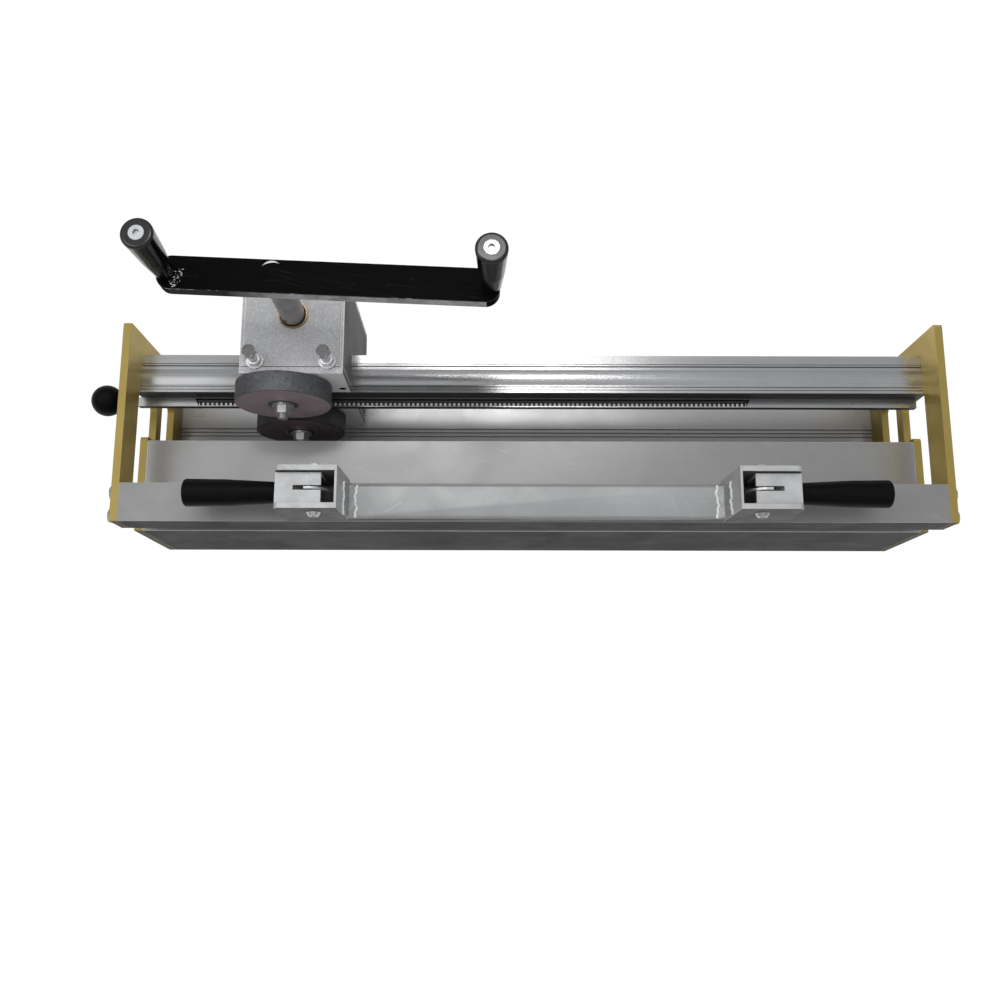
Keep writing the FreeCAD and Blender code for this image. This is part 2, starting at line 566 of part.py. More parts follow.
def make_carriage_box():
    """The plates of the carriage, which reach round the beam like a C."""
    slot_back = f"({PITCH_LINE}+gear_module+rack_clear)"
    beam_slot = f"({BEAM_BACK}+beam_clear)"
    rack_slot = f"({RACK_Z}+rack_width/2+rack_clear)"
    rim = [(FRONT_PLATE[1], "carriage_bottom"), (INSIDE_DEPTH[1], "carriage_bottom"),
           (INSIDE_DEPTH[1], "carriage_top"), (FRONT_PLATE[1], "carriage_top"),
           (FRONT_PLATE[1], UPPER_LOW), (beam_slot, UPPER_LOW), (beam_slot, rack_slot),
           (slot_back, rack_slot), (slot_back, LOWER_HIGH), (FRONT_PLATE[1], LOWER_HIGH)]
    for side, sign in SIDES:
        start = f"{CARRIAGE_X}+" + (SIDE_IN if sign > 0 else "(-carriage_width/2)")
        cheek = outline(f"carriage_side_{side}", "YZ_Plane", [rim], "side_thick", start)
        node(f"carriage_side_{side}", cheek)
    deck = block("deck_blank", INSIDE, INSIDE_DEPTH, ("carriage_top-deck_thick", "carriage_top"))
    shaft = rod("deck_bore", "bush_dia", "deck_thick", (CARRIAGE_X, SHAFT_Y, "carriage_top"), "-Z")
    taps = [rod("deck_tap", "adjuster_dia+2*fit_gap", "deck_thick", spot, "-Z") for spot in adjuster_spots()]
    node("carriage_deck", cut("carriage_deck", deck, shaft, *taps))
    node("carriage_back", block("carriage_back", WHOLE, (f"{CARRIAGE_BACK}-side_thick", CARRIAGE_BACK),
                                ("carriage_bottom", "carriage_top")))
    floor = block("floor_blank", INSIDE, INSIDE_DEPTH, ("carriage_bottom", "carriage_bottom+deck_thick"))
    hole = rod("floor_bore", "bush_dia", "deck_thick", (CARRIAGE_X, SHAFT_Y, "carriage_bottom"), "+Z")
    node("carriage_floor", cut("carriage_floor", floor, hole))
    upper = block("front_upper_blank", WHOLE, FRONT_PLATE, (UPPER_LOW, "carriage_top"))
    seat = rod("front_upper_seat", "bearing_inner", "front_thick", (ROLLER_X, FRONT_PLATE[1], UPPER_Z), "-Y")
    marks = [rod("front_mark", "front_hole", "front_thick/2",
                 (f"{CARRIAGE_X}+({sign}*front_hole_off)", BEAM_FRONT, "beam_top+front_hole_rise"), "+Y")
             for side, sign in SIDES]
    node("carriage_front_upper", cut("carriage_front_upper", upper, seat, *marks))
    lower = block("front_lower_blank", WHOLE, FRONT_PLATE, ("carriage_bottom", LOWER_HIGH))
    seat = rod("front_lower_seat", "bearing_inner", "front_thick", (ROLLER_X, FRONT_PLATE[1], LOWER_Z), "-Y")
    node("carriage_front_lower", cut("carriage_front_lower", lower, seat))


def adjuster_spots():
    """Where the two adjusting screws stand on the carriage deck."""
    along = f"({BEAM_FRONT}+adjuster_setback)"
    return [(f"{CARRIAGE_X}+({sign}*adjuster_spread)", along, "carriage_top") for side, sign in SIDES]


def make_adjusters():
    """The adjusting screws with lock nuts, and the pads that they press on the beam."""
    tip = f"({UPPER_LOW}+pad_thick)"
    screws, nuts = [], []
    for across, along, up in adjuster_spots():
        shank = rod("adjuster_shank", "adjuster_dia", f"carriage_top+adjuster_rise-{tip}",
                    (across, along, tip), "+Z")
        head = bolt_head("adjuster_cap", "adjuster_head", "adjuster_head_thick",
                         (across, along, "carriage_top+adjuster_rise"), "+Z")
        screws.append(fuse("adjuster", shank, head))
        washer = rod("adjuster_ring", "adjuster_washer", "washer_thick", (across, along, up), "+Z")
        nut = bolt_head("adjuster_nut", "adjuster_head", "lock_nut_thick",
                        (across, along, f"{up}+washer_thick"), "+Z")
        hole = rod("adjuster_nut_bore", "adjuster_dia+2*fit_gap", "washer_thick+lock_nut_thick",
                   (across, along, up), "+Z")
        nuts.append(cut("adjuster_lock", fuse("adjuster_lock_blank", washer, nut), hole))
    node("adjusting_screws", group("adjusting_screw_set", *screws))
    node("adjuster_lock_nuts", group("adjuster_lock_set", *nuts))
    along = (f"{BEAM_FRONT}+pad_inset", f"{BEAM_FRONT}+pad_inset+pad_length")
    node("slide_pad_top", block("slide_pad_top", INSIDE, along, (UPPER_LOW, tip)))
    node("slide_pad_bottom", block("slide_pad_bottom", INSIDE, along,
                                   (f"{LOWER_HIGH}-pad_thick", LOWER_HIGH)))
    node("carriage_shelf", block("carriage_shelf", INSIDE,
                                 (f"{BEAM_FRONT}+front_thick", f"{BEAM_FRONT}+pad_inset+pad_length"),
                                 (f"{LOWER_HIGH}-pad_thick-shelf_thick", f"{LOWER_HIGH}-pad_thick")))


def make_roller(side, height):
    """One pinch roller with its bearing, axle and front nut."""
    centre = (ROLLER_X, ROLLER_BACK, height)
    mouth = (ROLLER_X, ROLLER_FRONT, height)
    plate = (ROLLER_X, FRONT_PLATE[1], height)
    blank = rod(f"{side}_roller_blank", "roller_dia", "roller_width", centre, "-Y")
    doc.recompute()
    rims = [index for index, edge in enumerate(blank.Shape.Edges, start=1)
            if edge.Length > size("roller_dia") and edge.BoundBox.YLength < 1e-4]
    wheel = soften(f"{side}_roller_wheel", blank, "roller_round", rims)
    seat = rod(f"{side}_roller_seat", "bearing_outer", "bearing_width", mouth, "+Y")
    bore = rod(f"{side}_roller_bore", "roller_bore", "roller_width", centre, "-Y")
    node(f"{side}_roller", cut(f"{side}_roller", wheel, seat, bore))
    ring = rod(f"{side}_bearing_ring", "bearing_outer", "bearing_width", mouth, "+Y")
    eye = rod(f"{side}_bearing_eye", "bearing_inner+2*run_gap", "bearing_width", mouth, "+Y")
    node(f"{side}_roller_bearing", cut(f"{side}_roller_bearing", ring, eye))
    reach = "(front_thick+roller_gap+roller_width)"
    pin = rod(f"{side}_axle_pin", "bearing_inner", reach, plate, "-Y")
    end = rod(f"{side}_axle_end", "stud_dia", "washer_thick+nut_thick+axle_tip+nip_gap", mouth, "-Y")
    collar = rod(f"{side}_axle_collar", "axle_collar", "front_thick", plate, "+Y")
    node(f"{side}_axle", fuse(f"{side}_axle", pin, end, collar))
    face = (ROLLER_X, f"({ROLLER_FRONT}-nip_gap)", height)
    seated = (ROLLER_X, f"({ROLLER_FRONT}-nip_gap-washer_thick)", height)
    washer = rod(f"{side}_axle_washer", "washer_dia", "washer_thick", face, "-Y")
    nut = bolt_head(f"{side}_axle_hex", "nut_across", "nut_thick", seated, "-Y")
    hole = rod(f"{side}_axle_thread", "stud_dia+2*fit_gap", "washer_thick+nut_thick", face, "-Y")
    node(f"{side}_axle_nut", cut(f"{side}_axle_nut", fuse(f"{side}_axle_nut_blank", washer, nut), hole))


# Shaft and crank.

def make_bushes():
    """The bronze bushes that the crank shaft turns in."""
    for name, bore, start, way, top in (("shaft_bush_upper", "shaft_dia", "carriage_top", "+Z", "-Z"),
                                        ("shaft_bush_lower", "journal_dia", "carriage_bottom", "-Z", "+Z")):
        spot = (CARRIAGE_X, SHAFT_Y, start)
        flange = rod(f"{name}_flange", "bush_flange", "bush_rise", spot, way)
        sleeve = rod(f"{name}_sleeve", "bush_dia", "deck_thick", spot, top)
        lift = f"{start}+bush_rise" if way == "+Z" else f"{start}-bush_rise"
        eye = rod(f"{name}_eye", f"{bore}+2*run_gap", "deck_thick+bush_rise",
                  (CARRIAGE_X, SHAFT_Y, lift), top)
        node(name, cut(name, fuse(f"{name}_blank", flange, sleeve), eye))


def about_shaft(obj):
    """Set a piece that is drawn about the shaft's axis on the shaft, at the crank's resting turn."""
    angle = size("crank_angle")
    obj.Placement = FreeCAD.Placement(FreeCAD.Vector(), FreeCAD.Rotation(FreeCAD.Vector(0, 0, -1), angle))
    tie(obj, "Placement.Base.x", CARRIAGE_X)
    tie(obj, "Placement.Base.y", SHAFT_Y)
    tie(obj, "Placement.Rotation.Angle", "crank_angle")
    return obj


def make_crank():
    """The shaft, pinion and two-arm crank bar."""
    upper = rod("shaft_upper", "shaft_dia", "crank_top-journal_top", ("0", "0", "journal_top"), "+Z")
    lower = rod("shaft_lower", "journal_dia", "journal_top-carriage_bottom+bush_rise",
                ("0", "0", "carriage_bottom-bush_rise"), "+Z")
    cross = rod("shaft_cross_hole", "shaft_hole", "shaft_dia/2",
                ("-shaft_hole_off", "-shaft_dia/2", "carriage_top+bush_rise+shaft_hole_rise"), "+Y")
    node("crank_shaft", about_shaft(cut("crank_shaft", fuse("shaft_blank", upper, lower), cross)))
    wheel = doc.addObject("Part::Feature", "pinion_teeth_ring")
    wheel.Shape = prism_of(pinion_outline(), size("pinion_width"))
    seat = (CARRIAGE_X, SHAFT_Y, f"{RACK_Z}-pinion_width/2")
    place(wheel, seat)
    bore = rod("pinion_bore", "journal_dia", "pinion_width", seat)
    node("pinion", cut("pinion", wheel, bore))
    low, high = "-crank_short-crank_end", "crank_long+crank_end"
    half = "crank_width/2"
    rim = [(low, f"-{half}"), (high, f"-{half}"), (high, half), (low, half)]
    bar = outline("crank_blank", "XY_Plane", [rim], "crank_thick", "crank_top-crank_thick",
                  [("crank_corner", [0, 1, 2, 3])])
    holes = [rod("crank_eye", "shaft_dia", "crank_thick", ("0", "0", "crank_top"), "-Z")]
    holes += [rod("crank_tap", "spindle_dia", "crank_thick", (spot, "0", "crank_top"), "-Z")
              for spot in ("-crank_short", "crank_long")]
    node("crank_bar", about_shaft(cut("crank_bar", bar, *holes)))
    for side, spot in (("left", "-crank_short"), ("right", "crank_long")):
        make_grip(side, spot)


def make_grip(side, spot):
    """One tapered grip that turns on its own spindle screw."""
    base = "crank_top+grip_gap"
    end = f"{base}+grip_length"
    neck = cone(f"grip_{side}_neck", "grip_small", "grip_middle", "grip_neck", (spot, "0", base))
    body = cone(f"grip_{side}_body", "grip_middle", "grip_large", "grip_length-grip_neck",
                (spot, "0", f"{base}+grip_neck"))
    whole = fuse(f"grip_{side}_whole", neck, body)
    doc.recompute()
    top = edges_at(whole.Shape, "z", size("crank_top") + size("grip_gap") + size("grip_length"))
    soft = soften(f"grip_{side}_soft", whole, "grip_round", top)
    eye = rod(f"grip_{side}_eye", "spindle_dia+2*run_gap", "grip_length", (spot, "0", base))
    seat = rod(f"grip_{side}_seat", "spindle_head+2*grip_gap", "spindle_head_thick", (spot, "0", end), "-Z")
    node(f"crank_grip_{side}", about_shaft(cut(f"crank_grip_{side}", soft, eye, seat)))
    shank = rod(f"spindle_{side}_shank", "spindle_dia",
                "crank_thick+2*grip_gap+grip_length-spindle_head_thick",
                (spot, "0", "crank_top-crank_thick"))
    head = rod(f"spindle_{side}_head", "spindle_head", "spindle_head_thick",
               (spot, "0", f"{end}+grip_gap-spindle_head_thick"))
    socket = hexagon(f"spindle_{side}_socket", "spindle_socket", "spindle_socket_deep",
                     (spot, "0", f"{end}+grip_gap"), "-Z")
    screw = cut(f"grip_spindle_{side}", fuse(f"spindle_{side}_blank", shank, head), socket)
    node(f"grip_spindle_{side}", about_shaft(screw))


# Belt clamp.

def make_clamp_bar():
    """The hollow bar that presses the belt on the table."""
    reach = (clamp_place(-1, "bracket_in"), clamp_place(1, "bracket_in"))
    front = f"({CLAMP_Y}-bracket_width/2)"
    outer = block("bar_outer", reach, (front, f"{front}+bar_width"), (CLAMP_LOW, f"{CLAMP_LOW}+bar_height"))
    inner = block("bar_inner", reach, (f"{front}+bar_wall", f"{front}+bar_width-bar_wall"),
                  (f"{CLAMP_LOW}+bar_wall", f"{CLAMP_LOW}+bar_height-bar_wall"))
    node("clamp_bar", cut("clamp_bar", outer, inner))


def make_bracket(side, sign):
    """The U-shaped bracket at one end of the clamp bar, with its pivot bolt."""
    near, far = f"({CLAMP_Y}-bracket_width/2)", f"({CLAMP_Y}+bracket_width/2)"
    top = f"({CLAMP_LOW}+bracket_height)"
    corners = [("bracket_in", CLAMP_LOW), ("bracket_out", CLAMP_LOW), ("bracket_out", top),
               ("bracket_in+bracket_lean", top)]
    rim = [(clamp_place(sign, across), up) for across, up in corners]
    outer = outline(f"bracket_{side}_outer", "XZ_Plane", [rim], "bracket_width", f"-{far}",
                    [("bracket_round", [2])])
    corners[0], corners[3] = ("bracket_in+end_wall", CLAMP_LOW), ("bracket_in+end_wall+bracket_lean", top)
    rim = [(clamp_place(sign, across), up) for across, up in corners]
    inner = outline(f"bracket_{side}_inner", "XZ_Plane", [rim], "bracket_width-2*cheek_thick",
                    f"-({far}-cheek_thick)")
    pivot = (clamp_place(sign, "pivot_x"), near, PIVOT_Z)
    hole = rod(f"bracket_{side}_hole", "pivot_dia", "bracket_width", pivot, "+Y")
    node(f"clamp_bracket_{side}", cut(f"clamp_bracket_{side}", outer, inner, hole))
    shank = rod(f"pivot_{side}_shank", "pivot_dia", "bracket_width", pivot, "+Y")
    head = cone(f"pivot_{side}_head", "pivot_head", "pivot_head_top", "pivot_head_thick", pivot, "-Y")
    nut = bolt_head(f"pivot_{side}_nut", "pivot_nut", "pivot_nut_thick", (pivot[0], far, PIVOT_Z), "+Y")
    socket = hexagon(f"pivot_{side}_socket", "pivot_socket", "pivot_socket_deep",
                     (pivot[0], f"{near}-pivot_head_thick", PIVOT_Z), "+Y")
    blank = fuse(f"pivot_{side}_blank", shank, head, nut)
    node(f"clamp_pivot_{side}", cut(f"clamp_pivot_{side}", blank, socket))


def make_lever(side, sign):
    """One clamp lever: a slotted channel head, its shank and its grip."""
    near, far = f"{CLAMP_Y}-head_width/2", f"{CLAMP_Y}+head_width/2"
    low, high = f"{PIVOT_Z}-head_drop", f"{PIVOT_Z}+head_top"
    inside, outside = "pivot_x-head_in", "bracket_out"
    outer = block(f"lever_{side}_outer", clamp_span(sign, inside, outside), (near, far), (low, high))
    inner = block(f"lever_{side}_inner", clamp_span(sign, inside, f"{outside}-head_end_wall"),
                  (f"{near}+head_wall", f"{far}-head_wall"), (low, f"{high}-head_wall"))
    slot = block(f"lever_{side}_slot", clamp_span(sign, inside, "pivot_x+head_slot_reach"),
                 (f"{CLAMP_Y}-head_slot/2", f"{CLAMP_Y}+head_slot/2"), (f"{high}-head_wall", high))
    hole = rod(f"lever_{side}_hole", "pivot_dia+2*run_gap", "head_width",
               (clamp_place(sign, "pivot_x"), near, PIVOT_Z), "+Y")
    channel = cut(f"lever_{side}_channel", outer, inner, slot, hole)
    shank = rod(f"lever_{side}_shank", "shank_dia", "shank_length",
                (clamp_place(sign, "bracket_out"), CLAMP_Y, LEVER_Z), outwards(sign))
    node(f"lever_head_{side}", fuse(f"lever_head_{side}", channel, shank))
    start = (clamp_place(sign, "bracket_out+head_wall"), CLAMP_Y, LEVER_Z)
    swell = (clamp_place(sign, "bracket_out+head_wall+lever_neck"), CLAMP_Y, LEVER_Z)
    neck = cone(f"lever_{side}_neck", "lever_small", "lever_middle", "lever_neck", start, outwards(sign))
    body = cone(f"lever_{side}_body", "lever_middle", "lever_large", "lever_length-lever_neck", swell,
                outwards(sign))
    whole = fuse(f"lever_{side}_whole", neck, body)
    doc.recompute()
    end = size("clamp_shift") + sign * (size("bracket_out") + size("head_wall") + size("lever_length"))
    grip = soften(f"lever_{side}_soft", whole, "lever_round", edges_at(whole.Shape, "x", end))
    seat = rod(f"lever_{side}_seat", "shank_dia", "shank_length-head_wall", start, outwards(sign))
    node(f"lever_grip_{side}", cut(f"lever_grip_{side}", grip, seat))


def make_anchor(side, sign):
    """The strap on the table that the pivot bolt runs up and down in."""
    middle = clamp_place(sign, "pivot_x")
    foot = block(f"anchor_{side}_foot", (f"{middle}-foot_length/2", f"{middle}+foot_length/2"),
                 (f"{CLAMP_Y}-foot_width/2", f"{CLAMP_Y}+foot_width/2"),
                 ("plate_height", "plate_height+foot_thick"))
    near, top = f"{CLAMP_Y}-strap_thick/2", f"{PIVOT_Z}+lift+strap_cap"
    inner, outer = clamp_place(sign, "pivot_x-strap_in"), clamp_place(sign, "pivot_x+strap_out")
    rim = [(inner, "plate_height"), (outer, "plate_height"), (outer, top), (inner, top)]
    strap = outline(f"anchor_{side}_strap", "XZ_Plane", [rim], "strap_thick", f"-({near}+strap_thick)",
                    [("strap_round", [3])])
    width = "(pivot_dia+4*run_gap)"
    slot = block(f"anchor_{side}_slot", (f"{middle}-{width}/2", f"{middle}+{width}/2"),
                 (near, f"{near}+strap_thick"), (PIVOT_Z, f"{PIVOT_Z}+lift"))
    ends = [rod(f"anchor_{side}_end", width, "strap_thick", (middle, near, spot), "+Y")
            for spot in (PIVOT_Z, f"{PIVOT_Z}+lift")]
    blank = fuse(f"anchor_{side}_blank", foot, strap)
    node(f"clamp_anchor_{side}", cut(f"clamp_anchor_{side}", blank, slot, *ends))


for side, sign in SIDES:
    make_end_plate(side, sign)
    make_plate_bolts(side, sign)
    make_bracket(side, sign)
    make_lever(side, sign)
    make_anchor(side, sign)
tube_with_bosses("front_table", (FRONT, f"{FRONT}+arm_height"),
                 ("plate_height-arm_height", "plate_height"), "table_wall", TABLE_BOLTS)
tube_with_bosses("lower_box", (LOWER_FRONT, BOX_BACK), ("0", "box_height"), "box_wall", BOX_BOLTS)
make_base_plate()
make_guide_beam()
make_rack()
make_comb()
make_pin()
make_carriage_box()
make_adjusters()
make_roller("upper", UPPER_Z)
make_roller("lower", LOWER_Z)
make_bushes()
make_crank()
make_clamp_bar()
doc.recompute()

faults = [obj.Name for obj in doc.Objects if "Invalid" in obj.State or "Error" in obj.State]
faults += [name for name, obj in nodes.items() if obj.Shape.isNull() or not obj.Shape.isValid()]
if faults:
    raise RuntimeError(f"these did not build: {faults}")
os.makedirs("parts", exist_ok=True)
for name, obj in nodes.items():
    obj.Shape.exportStep(f"parts/{name}.step")
    spread = obj.Shape.BoundBox
    limits = (spread.XMin, spread.XMax, spread.YMin, spread.YMax, spread.ZMin, spread.ZMax)
    print(name, len(obj.Shape.Solids), round(obj.Shape.Volume), [round(limit, 1) for limit in limits])
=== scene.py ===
"""Dress a hand-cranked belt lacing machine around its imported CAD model."""
from __future__ import annotations

import json
import logging
import math
from collections.abc import Callable
from dataclasses import dataclass
from enum import Enum

import bmesh
import bpy
from mathutils import Matrix, Vector

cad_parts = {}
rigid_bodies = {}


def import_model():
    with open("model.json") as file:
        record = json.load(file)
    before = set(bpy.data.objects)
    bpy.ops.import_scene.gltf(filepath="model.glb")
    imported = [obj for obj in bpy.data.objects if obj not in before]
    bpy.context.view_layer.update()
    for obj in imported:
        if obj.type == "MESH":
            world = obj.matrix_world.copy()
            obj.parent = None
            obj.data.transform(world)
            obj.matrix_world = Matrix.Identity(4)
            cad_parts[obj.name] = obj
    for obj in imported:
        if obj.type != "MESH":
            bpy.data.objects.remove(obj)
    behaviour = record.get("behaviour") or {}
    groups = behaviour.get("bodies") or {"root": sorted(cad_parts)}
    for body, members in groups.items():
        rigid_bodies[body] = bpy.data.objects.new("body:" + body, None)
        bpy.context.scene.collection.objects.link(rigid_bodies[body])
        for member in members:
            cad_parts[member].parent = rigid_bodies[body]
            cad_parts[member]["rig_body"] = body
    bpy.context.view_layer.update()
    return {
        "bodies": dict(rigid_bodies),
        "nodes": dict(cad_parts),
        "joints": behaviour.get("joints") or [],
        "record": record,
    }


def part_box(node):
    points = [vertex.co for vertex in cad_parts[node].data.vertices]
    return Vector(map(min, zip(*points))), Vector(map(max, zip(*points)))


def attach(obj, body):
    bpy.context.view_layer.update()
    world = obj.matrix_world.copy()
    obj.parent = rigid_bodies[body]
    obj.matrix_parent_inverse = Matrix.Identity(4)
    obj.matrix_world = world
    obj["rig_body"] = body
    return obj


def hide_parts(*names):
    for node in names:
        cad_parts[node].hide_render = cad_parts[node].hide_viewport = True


LOG = logging.getLogger("belt_lacer")
SIDES = (("left", -1), ("right", 1))
TO_FRONT = Matrix.Rotation(math.pi / 2, 4, "X")
# Lengths are in metres. HAIR is the slack when two places are compared, and the merges are how near corners become one.
HAIR = 1e-5
CAD_MERGE, MADE_MERGE, SLIVER = 2e-6, 1e-7, 1e-6
# Edges below the soft angles are shaded smooth, and edges past EASE_LIMIT are eased.
CAD_SOFT, MADE_SOFT = math.radians(30), math.radians(32)
FLAT_LIMIT, EASE_LIMIT = math.radians(0.5), math.radians(35)
EASE_SEGMENTS = 2
SPIN_STEPS = 64

Triple = tuple[float, float, float]
Colour = Triple
Values = tuple[tuple[str, object], ...]


class Pattern(Enum):
    """The shader node groups that finishes share."""

    STREAKS = "drawn_streaks"
    SPECKLE = "blasted_speckle"
    SCRATCHES = "hairline_scratches"
    SMUDGE = "handling_smudge"
    TURNED = "turned_rings"
    CHIPS = "paint_chips"
    SHADE = "painted_shade_and_wear_fade"


def rgba(colour: Colour) -> tuple[float, float, float, float]:
    """A colour with full alpha."""
    return (*colour, 1.0)


def grey(level: float) -> Colour:
    """A colour without a hue."""
    return (level, level, level)


def scaled(colour: Colour, gain: float) -> Colour:
    """A colour made lighter or darker."""
    return tuple(channel * gain for channel in colour)


def placed(name: str, data: bpy.types.ID) -> bpy.types.Object:
    """A new object in the scene.

    Args:
        name: The object's name.
        data: Its mesh, lamp or camera.

    Returns:
        The object.
    """
    made = bpy.data.objects.new(name, data)
    bpy.context.scene.collection.objects.link(made)
    return made


class TreeBuilder:
    """Adds nodes to a tree and feeds their inputs."""

    prefix: str = ""

    def __init__(self, tree: bpy.types.NodeTree) -> None:
        """Keep the tree that the nodes go into."""
        self.tree = tree

    def socket(self, name: str, kind: str, default: object = None, in_out: str = "INPUT") -> None:
        """Give the tree a named input or output.

        Args:
            name: The socket's name.
            kind: Its type, without the prefix.
            default: Its value, where it has one.
            in_out: Whether it is an INPUT or an OUTPUT.
        """
        made = self.tree.interface.new_socket(name, in_out=in_out, socket_type=f"NodeSocket{kind}")
        if default is not None:
            made.default_value = default

    def feed(self, socket: bpy.types.NodeSocket, value: object) -> None:
        """Link a socket, or set it to a plain value.

        Args:
            socket: The input.
            value: An output, or a plain value.
        """
        if isinstance(value, bpy.types.NodeSocket):
            self.tree.links.new(value, socket)
        else:
            socket.default_value = value

    def node(self, kind: str, links: dict[str, object] | None = None, **settings: object) -> bpy.types.Node:
        """Add a node.

        Args:
            kind: The node's type, after the builder's prefix.
            links: What feeds each input, by its name or number: an output, or a plain value.
            settings: The node's own properties.

        Returns:
            The new node.
        """
        made = self.tree.nodes.new(self.prefix + kind)
        for name, value in settings.items():
            setattr(made, name, value)
        for key, value in (links or {}).items():
            self.feed(made.inputs[int(key) if key.isdigit() else key], value)
        return made


class ShaderBuilder(TreeBuilder):
    """Adds shader nodes."""

    prefix = "ShaderNode"

    def math(self, operation: str, *values: object, **settings: object) -> bpy.types.NodeSocket:
        """Add a Math node and return its result."""
        links = {str(index): value for index, value in enumerate(values)}
        return self.node("Math", links, operation=operation, **settings).outputs[0]

    def ramp(self, value: bpy.types.NodeSocket, low: object, high: object, start: float = 0.0,
             end: float = 1.0) -> bpy.types.NodeSocket:
        """Lead a value from one range to another.

        Args:
            value: The value.
            low: Where the old range starts.
            high: Where the old range ends.
            start: Where the new range starts.
            end: Where the new range ends.

        Returns:
            The new value.
        """
        return self.node("MapRange", {"Value": value, "From Min": low, "From Max": high, "To Min": start,
                                      "To Max": end}).outputs[0]


class GroupBuilder(ShaderBuilder):
    """Builds one shader node group with named inputs and one Mask output."""

    def __init__(self, name: str) -> None:
        """Make a group that knows its place on the piece.

        Args:
            name: The group's name.
        """
        super().__init__(bpy.data.node_groups.new(name, "ShaderNodeTree"))
        self.inlet = self.tree.nodes.new("NodeGroupInput")
        self.outlet = self.tree.nodes.new("NodeGroupOutput")
        self.socket("Mask", "Float", in_out="OUTPUT")
        self.place = self.node("TexCoord").outputs["Object"]

    def inputs(self, **defaults: object) -> list[bpy.types.NodeSocket]:
        """Add the named inputs.

        Args:
            defaults: The value of each, a number or a vector.

        Returns:
            The inputs, as seen from inside the group.
        """
        for name, default in defaults.items():
            self.socket(name, "Vector" if isinstance(default, tuple) else "Float", default)
        return [self.inlet.outputs[name] for name in defaults]

    def vector(self, operation: str, *values: object) -> bpy.types.NodeSocket:
        """Add a Vector Math node and return its result."""
        links = {str(index): value for index, value in enumerate(values)}
        made = self.node("VectorMath", links, operation=operation)
        return made.outputs["Value" if operation in ("LENGTH", "DOT_PRODUCT") else "Vector"]

    def noise(self, place: bpy.types.NodeSocket, **sizes: object) -> bpy.types.NodeSocket:
        """Add a noise and return its value."""
        return self.node("TexNoise", {"Vector": place, **sizes}).outputs["Fac"]

    def finish(self, mask: bpy.types.NodeSocket) -> bpy.types.ShaderNodeTree:
        """Lead a value to the Mask output and return the finished group."""
        self.feed(self.outlet.inputs["Mask"], mask)
        return self.tree


